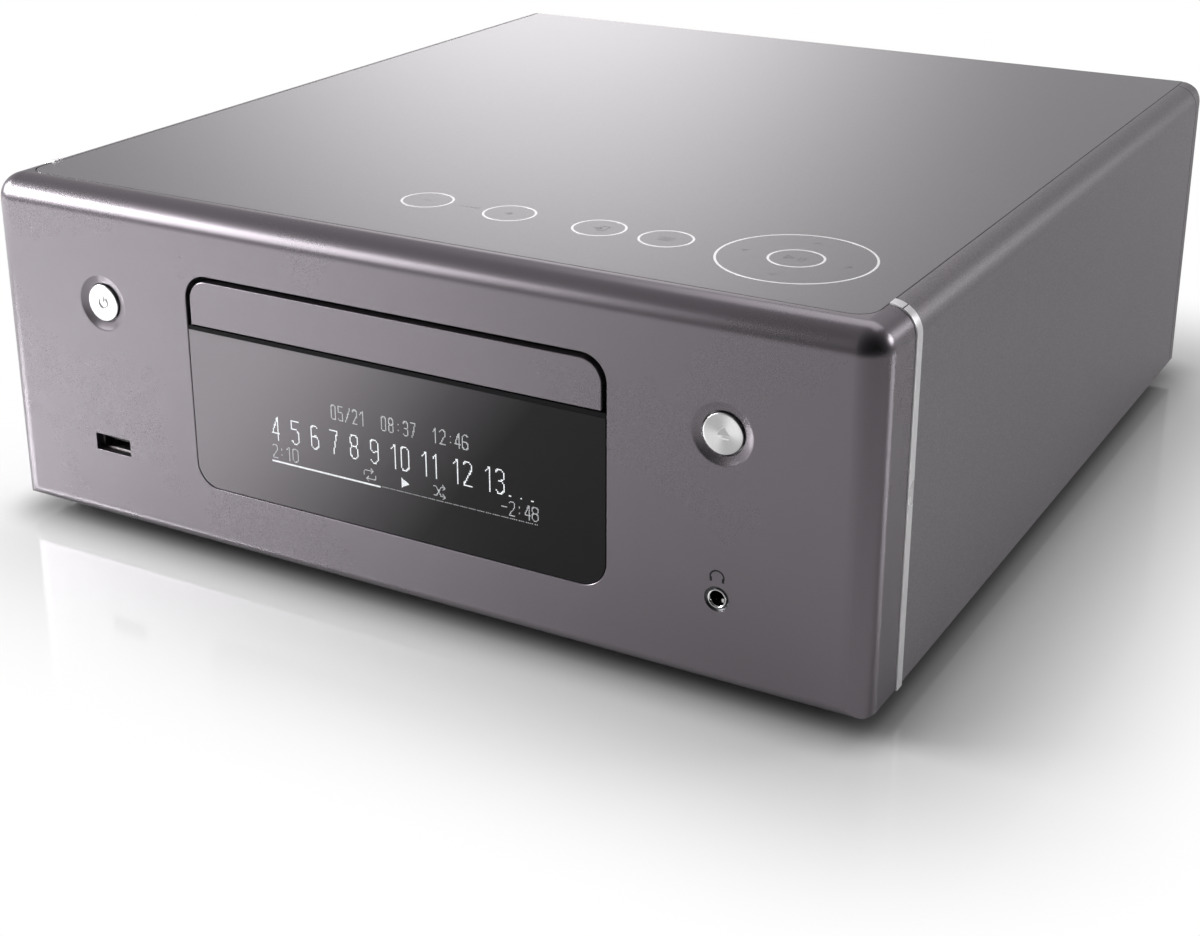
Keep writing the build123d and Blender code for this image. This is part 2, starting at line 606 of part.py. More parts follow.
def make_button(x):
    """A push button: turned metal cap with a hollow back, retaining flange and stem."""
    face_y = FRONT_Y + BUTTON_SETBACK
    flange_y = INNER_FRONT_Y + RUN_GAP
    cap = pin_y(x, BUTTON_Z, BUTTON_RADIUS, face_y, flange_y)
    cap = chamfer(cap.faces().sort_by(Axis.Y)[0].edges(), 0.3)
    flange = pin_y(x, BUTTON_Z, BUTTON_FLANGE_RADIUS, flange_y, flange_y + BUTTON_FLANGE)
    stem = pin_y(x, BUTTON_Z, 2.2, flange_y + BUTTON_FLANGE, flange_y + BUTTON_FLANGE + BUTTON_STEM)
    return cap + flange + stem


def make_button_switches():
    """Two tact switches on their small boards, behind the buttons."""
    board_y = INNER_FRONT_Y + switch_board_depth()
    boards = []
    for side in (-1, 1):
        x = side * BUTTON_X
        board = block(x - 8, x + 8, board_y, board_y + BOARD_THICKNESS, BUTTON_Z - 14, BUTTON_Z + 14)
        half = SWITCH_SIZE / 2
        body_y = board_y - SWITCH_HEIGHT + 0.6
        board += block(x - half, x + half, body_y, board_y, BUTTON_Z - half, BUTTON_Z + half)
        board += pin_y(x, BUTTON_Z, 1.7, board_y - SWITCH_HEIGHT, body_y)
        board += block(x - 4, x + 4, board_y + BOARD_THICKNESS, board_y + 6, BUTTON_Z - 12, BUTTON_Z - 8)
        boards.append(board)
    return Compound(children=boards)


def make_usb_socket():
    """The USB socket: a folded steel shell with spring windows round an insulating tongue."""
    y0 = INNER_FRONT_Y + 0.1
    y1 = y0 + USB_DEPTH
    half_w = USB_WIDTH / 2
    half_h = USB_HEIGHT / 2
    wall = USB_SHELL
    shell = block(
        USB_X - half_w - wall, USB_X + half_w + wall, y0, y1, USB_Z - half_h - wall, USB_Z + half_h + wall
    )
    shell -= block(USB_X - half_w, USB_X + half_w, y0 - 1, y1 - 1.5, USB_Z - half_h, USB_Z + half_h)
    for x in (USB_X - 3.2, USB_X + 3.2):
        shell -= block(x - 0.8, x + 0.8, y0 + 3, y0 + 8, USB_Z + half_h - 1, USB_Z + half_h + 1)
    return shell


def make_usb_tongue():
    """The insulating tongue inside the USB socket, with four contact strips."""
    y1 = INNER_FRONT_Y + 0.1 + USB_DEPTH - 1.5
    top = USB_Z + USB_HEIGHT / 2 - 0.5
    half = USB_TONGUE_WIDTH / 2
    tongue = block(USB_X - half, USB_X + half, INNER_FRONT_Y + 0.8, y1, top - USB_TONGUE_HEIGHT, top)
    bottom = top - USB_TONGUE_HEIGHT
    for offset in (-3.5, -1.0, 1.0, 3.5):
        x = USB_X + offset
        tongue += block(x - 0.5, x + 0.5, INNER_FRONT_Y + 1.4, y1, bottom - 0.15, bottom)
    return tongue


def make_headphone_jack():
    """The headphone socket: a turned collar in the panel and a box body on its board."""
    width, depth, height = JACK_BODY
    y0 = INNER_FRONT_Y + 0.2
    collar = pin_y(JACK_X, JACK_Z, JACK_COLLAR / 2, FRONT_Y + WINDOW_RECESS, y0)
    collar = chamfer(collar.faces().sort_by(Axis.Y)[0].edges(), 0.3)
    z0 = SOCKET_BOARD_Z + BOARD_THICKNESS
    body = block(JACK_X - width / 2, JACK_X + width / 2, y0, y0 + depth, z0, z0 + height)
    bore = pin_y(JACK_X, JACK_Z, JACK_BORE / 2, FRONT_Y - 1, y0 + depth - 1)
    return collar + body - bore


def make_socket_boards():
    """Two small boards under the USB and headphone sockets, on pillars in the front panel."""
    boards = []
    for x in (USB_X, JACK_X):
        board = block(
            x - 13, x + 13, INNER_FRONT_Y + 0.5, INNER_FRONT_Y + 24,
            SOCKET_BOARD_Z, SOCKET_BOARD_Z + BOARD_THICKNESS,
        )
        top = SOCKET_BOARD_Z + BOARD_THICKNESS
        board += block(x - 5, x + 5, INNER_FRONT_Y + 18, INNER_FRONT_Y + 22, top, top + 5)
        boards.append(board)
    return Compound(children=boards)


def make_touch_board():
    """The touch sensor board against the underside of the top plate."""
    x0, x1, y0, y1 = TOUCH_BOARD
    board = block(x0, x1, y0, y1, PLATE_BOTTOM_Z - BOARD_THICKNESS, PLATE_BOTTOM_Z)
    under = PLATE_BOTTOM_Z - BOARD_THICKNESS
    board += block(40, 52, y0 + 12, y0 + 24, under - 1.4, under)
    board += block(-20, -10, y1 - 10, y1 - 5, under - 2.5, under)
    return board


# ---------------------------------------------------------------- gears
def gear_outline(teeth, module, tooth_at=0.0):
    """Return an involute spur-gear outline with one tooth centred on an angle in degrees."""
    pitch_radius = module * teeth / 2
    base_radius = pitch_radius * math.cos(math.radians(PRESSURE_ANGLE))
    tip_radius = pitch_radius + 0.95 * module
    root_radius = pitch_radius - 1.2 * module
    half_tooth = math.pi / (2 * teeth) - BACKLASH / 2 / pitch_radius / 2

    def involute(radius):
        roll = math.sqrt(max((radius / base_radius) ** 2 - 1, 0.0))
        return roll - math.atan(roll)

    start = max(base_radius, root_radius)
    flank = [start + (tip_radius - start) * step / 3 for step in range(4)]
    at_pitch = involute(pitch_radius)
    points = []
    for tooth in range(teeth):
        middle = math.radians(tooth_at) + 2 * math.pi * tooth / teeth
        rising = [(radius, half_tooth + at_pitch - involute(radius)) for radius in flank]
        if base_radius > root_radius:
            rising.insert(0, (root_radius, rising[0][1]))
        for radius, offset in rising:
            points.append((radius * math.cos(middle - offset), radius * math.sin(middle - offset)))
        for radius, offset in reversed(rising):
            points.append((radius * math.cos(middle + offset), radius * math.sin(middle + offset)))
    return make_face(Polyline(*points, close=True))


def rack_outline(pitch_x, back_x, y0, y1, module, space_at):
    """Return a rack in plan: teeth along Y that face from back_x towards pitch_x."""
    pitch = math.pi * module
    side = 1 if back_x > pitch_x else -1
    slope = math.tan(math.radians(PRESSURE_ANGLE))
    tip_x = pitch_x - side * 0.95 * module
    root_x = pitch_x + side * 1.2 * module
    half = pitch / 4 - BACKLASH / 4
    half_tip = half - 0.95 * module * slope
    half_root = half + 1.2 * module * slope
    first = math.ceil((y0 + pitch / 2 - space_at) / pitch - 0.5)
    points = [(back_x, y0), (root_x, y0)]
    middle = space_at + (first + 0.5) * pitch
    while middle + half_root < y1:
        if middle - half_root > y0:
            points += [(root_x, middle - half_root), (tip_x, middle - half_tip)]
            points += [(tip_x, middle + half_tip), (root_x, middle + half_root)]
        middle += pitch
    points += [(root_x, y1), (back_x, y1)]
    return make_face(Polyline(*points, close=True))


# ---------------------------------------------------------------- disc loader
def make_tray_door():
    """The metal-faced door on the front of the tray."""
    face = rounded_window(DOOR_HALF_WIDTH, DOOR_BOTTOM_Z - 8, DOOR_TOP_Z, OPENING_CORNER - DOOR_GAP)
    door = along_y(face, FRONT_Y, DOOR_BACK_Y)
    reach = OVERALL_WIDTH
    door -= block(-reach, reach, FRONT_Y - 1, DOOR_BACK_Y + 1, DOOR_BOTTOM_Z - 20, DOOR_BOTTOM_Z)
    return chamfer(door.faces().sort_by(Axis.Y)[0].edges(), 0.3)


def make_disc_tray():
    """The sliding tray: stepped disc recess, pickup slot, open underside and drive rack."""
    half = TRAY_HALF_WIDTH
    tray = block(-half, half, DOOR_BACK_Y, TRAY_REAR_Y, TRAY_BOTTOM_Z, TRAY_TOP_Z)
    tray = fillet(tray.edges().filter_by(Axis.Z).group_by(Axis.Y)[-1], 5)
    inner = half - TRAY_WALL
    ceiling = TRAY_BOTTOM_Z + TRAY_POCKET
    tray -= block(-inner, inner, DOOR_BACK_Y + TRAY_WALL, TRAY_REAR_Y + 1, TRAY_BOTTOM_Z - 1, ceiling)
    recess = DISC_DIAMETER / 2 + DISC_CLEARANCE
    tray -= post(0, DISC_Y, recess, TRAY_FLOOR_Z, TRAY_TOP_Z + 1)
    small = SMALL_DISC_DIAMETER / 2 + DISC_CLEARANCE
    tray -= post(0, DISC_Y, small, TRAY_FLOOR_Z - SMALL_DISC_RECESS, TRAY_TOP_Z + 1)
    for x in (-44.0, 44.0):
        tray -= block(x - 12, x + 12, TRAY_REAR_Y - 26, TRAY_REAR_Y - 8, TRAY_FLOOR_Z, TRAY_TOP_Z + 1)
    tray -= post(0, DISC_Y, 18, TRAY_BOTTOM_Z - 1, TRAY_TOP_Z + 1)
    tray -= block(-18, 18, DISC_Y, DISC_Y + 69, TRAY_BOTTOM_Z - 1, TRAY_TOP_Z + 1)
    rack = rack_outline(
        RACK_PITCH_X, RACK_BACK_X, DOOR_BACK_Y + TRAY_WALL, TRAY_REAR_Y, RACK_MODULE, PINION_Y
    )
    return tray + along_z(rack, TRAY_BOTTOM_Z, ceiling)


def make_loader_chassis():
    """The moulded loader frame: floor, walls, tray rails, gear studs and bearing blocks."""
    front = SURROUND_BACK_Y + RUN_GAP
    rear = CHASSIS_REAR_Y
    low = CHASSIS_FLOOR_Z
    top = CHASSIS_FLOOR_TOP_Z
    outer = CHASSIS_OUTER_X + 4.5
    chassis = block(-outer, outer, front, rear, low, top)
    nose = TRAVERSE_NOSE_HALF_WIDTH + 1.5
    wide = TRAVERSE_HALF_WIDTH + 1.5
    chassis -= block(-nose, nose, TRAVERSE_FRONT_Y - 1.5, TRAVERSE_STEP_Y, low - 1, top + 1)
    chassis -= block(-wide, wide, TRAVERSE_STEP_Y - 1.5, PIVOT_Y + 4, low - 1, top + 1)
    chassis -= post(MOTOR_X, DRIVER_Y, 3.3, low - 1, top + 1)
    chassis += block(-CHASSIS_OUTER_X, CHASSIS_OUTER_X, rear - CHASSIS_WALL, rear, low, TRAY_TOP_Z)
    for side in (-1, 1):
        chassis += chassis_side(side, front, rear)
    chassis += post(PINION_X, PINION_Y, STUD_RADIUS, top, TRAY_BOTTOM_Z + TRAY_POCKET - RUN_GAP)
    chassis += post(PINION_X, PINION_Y, 3.5, top, WHEEL_BOTTOM_Z - RUN_GAP)
    chassis += post(DRIVER_X, DRIVER_Y, STUD_RADIUS, top, PULLEY_BOTTOM_Z + PULLEY_FACE + 0.3)
    return chassis + cam_guide()


def chassis_side(side, front, rear):
    """One side of the loader frame: wall, rail, hold-down tabs, ribs, bearing and ears."""
    low = CHASSIS_FLOOR_Z
    top = CHASSIS_FLOOR_TOP_Z

    def across(near, far, y0, y1, z0, z1):
        return block(min(side * near, side * far), max(side * near, side * far), y0, y1, z0, z1)

    part = across(CHASSIS_INNER_X, CHASSIS_OUTER_X, front, rear, low, CHASSIS_TOP_Z)
    rail = TRAY_HALF_WIDTH - TRAY_WALL - 0.5
    rail_top = TRAY_BOTTOM_Z - RUN_GAP
    part += across(rail, CHASSIS_INNER_X + 1, front, rear, rail_top - 2, rail_top)
    for y in (front, DISC_Y + 37.0, TRAY_REAR_Y - 14.0):
        tab_z = TRAY_TOP_Z + RUN_GAP
        part += across(TRAY_HALF_WIDTH - 2.4, CHASSIS_INNER_X + 1, y, y + 9, tab_z, tab_z + 2)
    outer = CHASSIS_OUTER_X + 4.5
    part += across(outer - 1.5, outer, front, rear, low - 4, low)
    wide = TRAVERSE_HALF_WIDTH + 2.5
    part += across(wide, wide + 1.5, TRAVERSE_STEP_Y, PIVOT_Y + 6, low - 4, low)
    bearing = TRAVERSE_HALF_WIDTH + 1.8
    block_top = TRAY_BOTTOM_Z - RUN_GAP
    part += across(bearing, bearing + 3.2, PIVOT_Y - 4, PIVOT_Y + 4, top, block_top)
    hole = PIVOT_PIN_RADIUS + BEARING_GAP
    part -= pin_x(
        PIVOT_Y, PIVOT_Z, hole, min(side * bearing, side * (bearing + 4)) - 1,
        max(side * bearing, side * (bearing + 4)) + 1,
    )
    for y in EAR_Y:
        ear = across(outer - 1, BRACKET_X + BRACKET_FLANGE, y - 6, y + 6, low, top)
        part += ear - post(side * (BRACKET_X + 5.5), y, 1.6, low - 1, top + 1)
    return part


def cam_pin_height(tilt):
    """Height of the cam pins when the traverse is lowered by an angle in degrees."""
    reach = PIVOT_Y - (CAM_REAR_Y - CAM_THICKNESS / 2)
    drop = PIVOT_Z - CAM_PIN_Z
    angle = math.radians(tilt)
    return PIVOT_Z - reach * math.tan(angle) - drop / math.cos(angle)


def cam_guide():
    """The slotted wall and ledge under the loader floor that the cam slides along."""
    face = CAM_REAR_Y - CAM_THICKNESS - RUN_GAP
    bottom = CAM_BOTTOM_Z - RUN_GAP
    wall = block(-11, 50, face - 1.7, face, bottom - 1.5, CHASSIS_FLOOR_Z)
    ledge = block(-11, 50, face, CAM_REAR_Y + 0.2, bottom - 1.5, bottom)
    guide = wall + ledge
    for x in CAM_PIN_X:
        guide -= block(
            x - 2.5, x + 2.5, face - 2, face + 0.1, cam_pin_height(TILT) - 2.5, cam_pin_height(0) + 2.5
        )
    return guide


def make_loader_brackets():
    """Two folded steel brackets that carry the loader on the pan, with lightening holes."""
    brackets = []
    y0, y1 = BRACKET_Y
    middle_y = (y0 + y1) / 2
    middle_z = (PAN_TOP_Z + CHASSIS_FLOOR_Z) / 2
    for side in (-1, 1):
        near = BRACKET_X
        web = block(near, near + PAN_THICKNESS, y0, y1, PAN_TOP_Z, CHASSIS_FLOOR_Z)
        for z0 in (PAN_TOP_Z, CHASSIS_FLOOR_Z - PAN_THICKNESS):
            web += block(near, near + BRACKET_FLANGE, y0, y1, z0, z0 + PAN_THICKNESS)
        for step in (-1, 0, 1):
            window = RectangleRounded(BRACKET_WINDOW, BRACKET_WINDOW, 5)
            window = Pos(middle_y + step * BRACKET_WINDOW_PITCH, middle_z) * window
            web -= along_x(window, near - 1, near + PAN_THICKNESS + 1)
        for y in EAR_Y:
            web -= post(near + 5.5, y, 1.6, CHASSIS_FLOOR_Z - 2, CHASSIS_FLOOR_Z + 1)
        brackets.append(web if side > 0 else mirror(web, about=Plane.YZ))
    return Compound(children=brackets)


def make_tray_gear():
    """The two-step gear: large wheel below, rack pinion above, turning on a stud."""
    wheel_top = WHEEL_BOTTOM_Z + WHEEL_FACE
    pinion_top = PINION_BOTTOM_Z + PINION_FACE
    gear = along_z(gear_outline(WHEEL_TEETH, WHEEL_MODULE, DRIVER_DIRECTION), WHEEL_BOTTOM_Z, wheel_top)
    for step in range(5):
        angle = math.radians(72 * step)
        gear -= post(10 * math.cos(angle), 10 * math.sin(angle), 2.6, WHEEL_BOTTOM_Z - 1, wheel_top + 1)
    gear += post(0, 0, 6, wheel_top, PINION_BOTTOM_Z)
    gear += along_z(gear_outline(PINION_TEETH, RACK_MODULE), PINION_BOTTOM_Z, pinion_top)
    gear -= post(0, 0, STUD_RADIUS + BEARING_GAP, WHEEL_BOTTOM_Z - 1, pinion_top + 1)
    return Pos(PINION_X, PINION_Y, 0) * gear


def grooved_pulley(pitch_radius):
    """Return a pulley with a square belt groove, at the height of the belt."""
    groove = pitch_radius - BELT_SIZE / 2 - RUN_GAP
    middle = PULLEY_BOTTOM_Z + PULLEY_FACE / 2
    half_gap = BELT_SIZE / 2 + RUN_GAP
    rim = pitch_radius + BELT_SIZE / 2 + 0.2
    pulley = post(0, 0, rim, PULLEY_BOTTOM_Z, middle - half_gap)
    pulley += post(0, 0, groove, middle - half_gap, middle + half_gap)
    return pulley + post(0, 0, rim, middle + half_gap, PULLEY_BOTTOM_Z + PULLEY_FACE)


def make_pulley_gear():
    """The belt-driven pulley with the small gear that turns the large wheel."""
    bottom = WHEEL_BOTTOM_Z - RUN_GAP
    top = WHEEL_BOTTOM_Z + WHEEL_FACE + RUN_GAP
    half_pitch = 180 / DRIVER_TEETH
    teeth = gear_outline(DRIVER_TEETH, WHEEL_MODULE, DRIVER_DIRECTION + 180 + half_pitch)
    gear = along_z(teeth, bottom, top)
    gear += post(0, 0, 5, top, PULLEY_BOTTOM_Z)
    gear += grooved_pulley(PULLEY_PITCH_RADIUS)
    gear -= post(0, 0, STUD_RADIUS + BEARING_GAP, bottom - 1, PULLEY_BOTTOM_Z + PULLEY_FACE + 1)
    return Pos(DRIVER_X, DRIVER_Y, 0) * gear


def make_motor_pulley():
    """The small pulley on the loading motor's shaft."""
    pulley = grooved_pulley(MOTOR_PULLEY_PITCH_RADIUS)
    pulley += post(0, 0, 2.6, PULLEY_BOTTOM_Z - 2.5, PULLEY_BOTTOM_Z)
    bore = MOTOR_SHAFT_RADIUS + BEARING_GAP
    pulley -= post(0, 0, bore, PULLEY_BOTTOM_Z - 3, PULLEY_BOTTOM_Z + PULLEY_FACE + 1)
    return Pos(MOTOR_X, DRIVER_Y, 0) * pulley


def make_drive_belt():
    """The square rubber belt round both pulleys."""
    def loop(extra):
        circles = Pos(DRIVER_X, DRIVER_Y) * Circle(PULLEY_PITCH_RADIUS + extra)
        circles += Pos(MOTOR_X, DRIVER_Y) * Circle(MOTOR_PULLEY_PITCH_RADIUS + extra)
        return make_hull(circles.edges())

    middle = PULLEY_BOTTOM_Z + PULLEY_FACE / 2
    band = loop(BELT_SIZE / 2) - loop(-BELT_SIZE / 2)
    return along_z(band, middle - BELT_SIZE / 2, middle + BELT_SIZE / 2)


def make_loading_motor():
    """The loading motor: can, top boss and shaft, hung under the loader floor."""
    bottom = CHASSIS_FLOOR_Z - LOADING_MOTOR_HEIGHT
    motor = post(0, 0, LOADING_MOTOR_RADIUS, bottom, CHASSIS_FLOOR_Z)
    motor = chamfer(motor.edges().group_by(Axis.Z)[0], 1.0)
    motor += post(0, 0, 3.0, CHASSIS_FLOOR_Z, CHASSIS_FLOOR_TOP_Z + 0.5)
    shaft_top = PULLEY_BOTTOM_Z + PULLEY_FACE
    motor += post(0, 0, MOTOR_SHAFT_RADIUS, CHASSIS_FLOOR_TOP_Z, shaft_top)
    motor += block(-5, 5, -2, 2, bottom - 1.2, bottom)
    return Pos(MOTOR_X, DRIVER_Y, 0) * motor


def make_clamp_bridge():
    """The steel bridge over the disc, a channel with a round hole for the clamper."""
    y0 = DISC_Y - BRIDGE_WIDTH / 2
    y1 = DISC_Y + BRIDGE_WIDTH / 2
    half = CHASSIS_OUTER_X
    z0 = CHASSIS_TOP_Z
    bridge = block(-half, half, y0, y1, z0, z0 + BRIDGE_THICKNESS)
    for y in (y0, y1 - BRIDGE_THICKNESS):
        bridge += block(-half + 8, half - 8, y, y + BRIDGE_THICKNESS, z0, z0 + 5)
    for side in (-1, 1):
        bridge -= post(side * (half - 4), DISC_Y, 1.6, z0 - 1, z0 + 3)
        bridge -= post(side * 34, DISC_Y, 8, z0 - 1, z0 + 3)
    return bridge - post(0, DISC_Y, CLAMPER_NECK_RADIUS + 1, z0 - 1, z0 + 3)


def make_clamper():
    """The turned clamper that hangs in the bridge and presses the disc on the turntable."""
    z0 = TRAY_TOP_Z + 0.9
    z1 = CHASSIS_TOP_Z + BRIDGE_THICKNESS + RUN_GAP
    flange = CLAMPER_NECK_RADIUS + 2.8
    profile = Polyline(
        (0, z0 + 1.5), (8.5, z0 + 1.5), (8.5, z0), (CLAMPER_RADIUS, z0), (CLAMPER_RADIUS, z0 + 2),
        (CLAMPER_NECK_RADIUS, z0 + 2), (CLAMPER_NECK_RADIUS, z1), (flange, z1), (flange, z1 + 1.4),
        (0, z1 + 1.4), close=True
    )
    return Pos(0, DISC_Y, 0) * revolve(Plane.XZ * make_face(profile), Axis.Z, 360)


# ---------------------------------------------------------------- traverse
def lowered(piece):
    """Tilt a piece, made in its playing position, down about the pivot to its place at rest."""
    pivot = Axis((0, PIVOT_Y, PIVOT_Z), (1, 0, 0))
    return piece.rotate(pivot, TILT)


def make_traverse_plate():
    """The steel plate of the traverse: folded edges, pickup window, rod blocks, pivot and cam pins."""
    bottom = PIVOT_Z - TRAVERSE_THICKNESS / 2
    top = PLATE_TOP_OF_TRAVERSE
    nose = TRAVERSE_NOSE_HALF_WIDTH
    wide = TRAVERSE_HALF_WIDTH
    plate = block(-nose, nose, TRAVERSE_FRONT_Y, TRAVERSE_STEP_Y, bottom, top)
    plate += block(-wide, wide, TRAVERSE_STEP_Y, PIVOT_Y + 2, bottom, top)
    plate -= block(-12.5, 12.5, SLED_START_Y + 0.5, SLED_START_Y + SLED_LENGTH + SLED_TRAVEL - 0.5,
                   bottom - 1, top + 1)
    plate -= post(SLED_GEAR_X, SLED_GEAR_Y, 2.5, bottom - 1, top + 1)
    for side in (-1, 1):
        edge = block(wide - TRAVERSE_THICKNESS, wide, TRAVERSE_STEP_Y + 4, PIVOT_Y - 7, bottom - 5, bottom)
        ear = block(wide - 3, wide, PIVOT_Y - 3, PIVOT_Y + 2, bottom - 1, top + 1)
        pin = pin_x(PIVOT_Y, PIVOT_Z, PIVOT_PIN_RADIUS, wide - 1, wide + 5.3)
        folded = edge + ear + pin
        plate += folded if side > 0 else mirror(folded, about=Plane.YZ)
        for y0 in (SLED_START_Y - 8, SLED_START_Y + SLED_LENGTH + SLED_TRAVEL + 9):
            x0 = min(side * 13, side * 18)
            plate += block(x0, x0 + 5, y0, y0 + 4, top, top + ROD_RISE + 3)
        plate -= pin_y(side * ROD_X, top + ROD_RISE, ROD_RADIUS, SLED_START_Y - 8,
                       SLED_START_Y + SLED_LENGTH + SLED_TRAVEL + 13)
    flange = block(min(CAM_PIN_X) - 6, max(CAM_PIN_X) + 6, TRAVERSE_FRONT_Y,
                   TRAVERSE_FRONT_Y + TRAVERSE_THICKNESS, CAM_PIN_Z - 3.5, bottom)
    plate += flange
    for x in CAM_PIN_X:
        plate += pin_y(x, CAM_PIN_Z, CAM_PIN_RADIUS, CAM_REAR_Y - CAM_THICKNESS - 1.8, TRAVERSE_FRONT_Y)
    return lowered(plate)


def make_spindle_motor():
    """The flat spindle motor on the traverse plate, with its shaft."""
    z0 = PLATE_TOP_OF_TRAVERSE
    z1 = z0 + SPINDLE_MOTOR_HEIGHT
    profile = Polyline(
        (0, z0), (SPINDLE_MOTOR_RADIUS, z0), (SPINDLE_MOTOR_RADIUS, z1 - 0.8),
        (SPINDLE_MOTOR_RADIUS - 3, z1 - 0.8), (SPINDLE_MOTOR_RADIUS - 3, z1),
        (MOTOR_SHAFT_RADIUS, z1), (MOTOR_SHAFT_RADIUS, z1 + 5.3), (0, z1 + 5.3), close=True
    )
    motor = revolve(Plane.XZ * make_face(profile), Axis.Z, 360)
    return lowered(Pos(0, DISC_Y, 0) * motor)


def make_turntable():
    """The turntable: disc seat, centring cone and bored hub."""
    z0 = PLATE_TOP_OF_TRAVERSE + SPINDLE_MOTOR_HEIGHT + RUN_GAP
    seat = z0 + 2.4
    bore = MOTOR_SHAFT_RADIUS + BEARING_GAP
    cone = TURNTABLE_CONE_RADIUS
    profile = Polyline(
        (bore, z0), (5, z0), (5, z0 + 0.4), (TURNTABLE_RADIUS, z0 + 0.4), (TURNTABLE_RADIUS, seat),
        (cone + 2.2, seat), (cone + 2.2, seat - 0.6), (cone, seat - 0.6), (cone, seat + 1.4),
        (cone - 2.2, seat + 3.4), (bore, seat + 3.4), close=True
    )
    table = revolve(Plane.XZ * make_face(profile), Axis.Z, 360)
    return lowered(Pos(0, DISC_Y, 0) * table)


def make_guide_rods():
    """Two polished rods that the pickup slides on."""
    z = PLATE_TOP_OF_TRAVERSE + ROD_RISE
    rods = []
    for side in (-1, 1):
        rod = pin_y(side * ROD_X, z, ROD_RADIUS, SLED_START_Y - 8,
                    SLED_START_Y + SLED_LENGTH + SLED_TRAVEL + 13)
        rods.append(lowered(rod))
    return Compound(children=rods)


def make_pickup_sled():
    """The pickup sled: rod bearings, optics block, lens ring and side rack."""
    plate_top = PLATE_TOP_OF_TRAVERSE
    y0 = SLED_START_Y
    y1 = y0 + SLED_LENGTH
    rod_z = plate_top + ROD_RISE
    sled = block(-SLED_HALF_WIDTH, SLED_HALF_WIDTH, y0, y1, plate_top + 0.8, plate_top + 5.5)
    sled += block(-11, 11, y0 + 2, y1 - 2, plate_top - 6.5, plate_top + 0.8)
    sled += block(-13, 13, y0 + 2, y0 + 20, plate_top + 5.5, plate_top + 7.3)
    sled += post(0, y0 + 11, 4.0, plate_top + 7.3, plate_top + 8.2)
    sled -= post(0, y0 + 11, 2.6, plate_top + 7.7, plate_top + 9)
    for side in (-1, 1):
        sled -= pin_y(side * ROD_X, rod_z, ROD_RADIUS + BEARING_GAP, y0 - 1, y1 + 1)
    rack = rack_outline(
        SLED_RACK_X, SLED_HALF_WIDTH - 1.5, y0, SLED_GEAR_Y + 4, SLED_GEAR_MODULE, SLED_GEAR_Y
    )
    sled += along_z(rack, plate_top + 1.6, plate_top + 3.9)
    return lowered(sled)


def make_sled_gear():
    """The small gear that drives the sled's rack."""
    z0 = PLATE_TOP_OF_TRAVERSE + 1.3
    z1 = PLATE_TOP_OF_TRAVERSE + 4.3
    gear = along_z(gear_outline(SLED_GEAR_TEETH, SLED_GEAR_MODULE, 180), z0, z1)
    gear -= post(0, 0, MOTOR_SHAFT_RADIUS + BEARING_GAP, z0 - 1, z1 + 1)
    return lowered(Pos(SLED_GEAR_X, SLED_GEAR_Y, 0) * gear)


def make_sled_motor():
    """The stepping motor under the traverse plate that turns the sled gear."""
    bottom = PIVOT_Z - TRAVERSE_THICKNESS / 2
    top = PLATE_TOP_OF_TRAVERSE
    motor = post(0, 0, 6.5, bottom - 9, bottom)
    motor += post(0, 0, 2.3, bottom, top + 0.5)
    motor += post(0, 0, MOTOR_SHAFT_RADIUS, top, top + 4.6)
    motor += block(-6.5, -2, -4, 4, bottom - 9, bottom - 5)
    return lowered(Pos(SLED_GEAR_X, SLED_GEAR_Y, 0) * motor)


def make_cam_slider():
    """The cam plate: two sloping slots that lift the traverse as the plate slides."""
    y1 = CAM_REAR_Y
    x0 = min(CAM_PIN_X) - CAM_TRAVEL - 6
    x1 = max(CAM_PIN_X) + 7
    cam = block(x0, x1, y1 - CAM_THICKNESS, y1, CAM_BOTTOM_Z, CHASSIS_FLOOR_Z - RUN_GAP)
    for x in CAM_PIN_X:
        ends = Pos(x, cam_pin_height(TILT)) * Circle(CAM_SLOT / 2)
        ends += Pos(x - CAM_TRAVEL, cam_pin_height(0)) * Circle(CAM_SLOT / 2)
        cam -= along_y(make_hull(ends.edges()), y1 - CAM_THICKNESS - 1, y1 + 1)
    return cam


# ---------------------------------------------------------------- boards and power
def make_main_board():
    """The main board with chips, a connector row and small capacitors."""
    x0, x1, y0, y1 = MAIN_BOARD
    top = MAIN_BOARD_Z + BOARD_THICKNESS
    board = block(x0, x1, y0, y1, MAIN_BOARD_Z, top)
    depth = y1 - y0
    for x, share, size in ((-30, 0.38, 18), (6, 0.55, 14), (30, 0.24, 10)):
        y = y0 + share * depth
        board += block(x, x + size, y, y + size, top, top + CHIP_HEIGHT)
    for x in range(-50, 11, 12):
        board += post(x, y0 + 14, 4, top, top + CAPACITOR_HEIGHT)
    board += block(40, 64, y0 + 4, y0 + 9, top, top + 6)
    return board


def make_heatsink():
    """The finned aluminium heatsink with the amplifier chips against its base."""
    z0 = MAIN_BOARD_Z + BOARD_THICKNESS
    x0, x1 = HEATSINK_X
    y0 = HEATSINK_Y
    sink = block(x0, x1, y0, y0 + HEATSINK_BASE, z0, z0 + HEATSINK_HEIGHT)
    fins = int((x1 - x0) // HEATSINK_PITCH)
    for index in range(fins):
        x = x0 + index * HEATSINK_PITCH
        sink += block(x, x + 1.6, y0 + HEATSINK_BASE, y0 + HEATSINK_DEPTH, z0, z0 + HEATSINK_HEIGHT)
    return sink


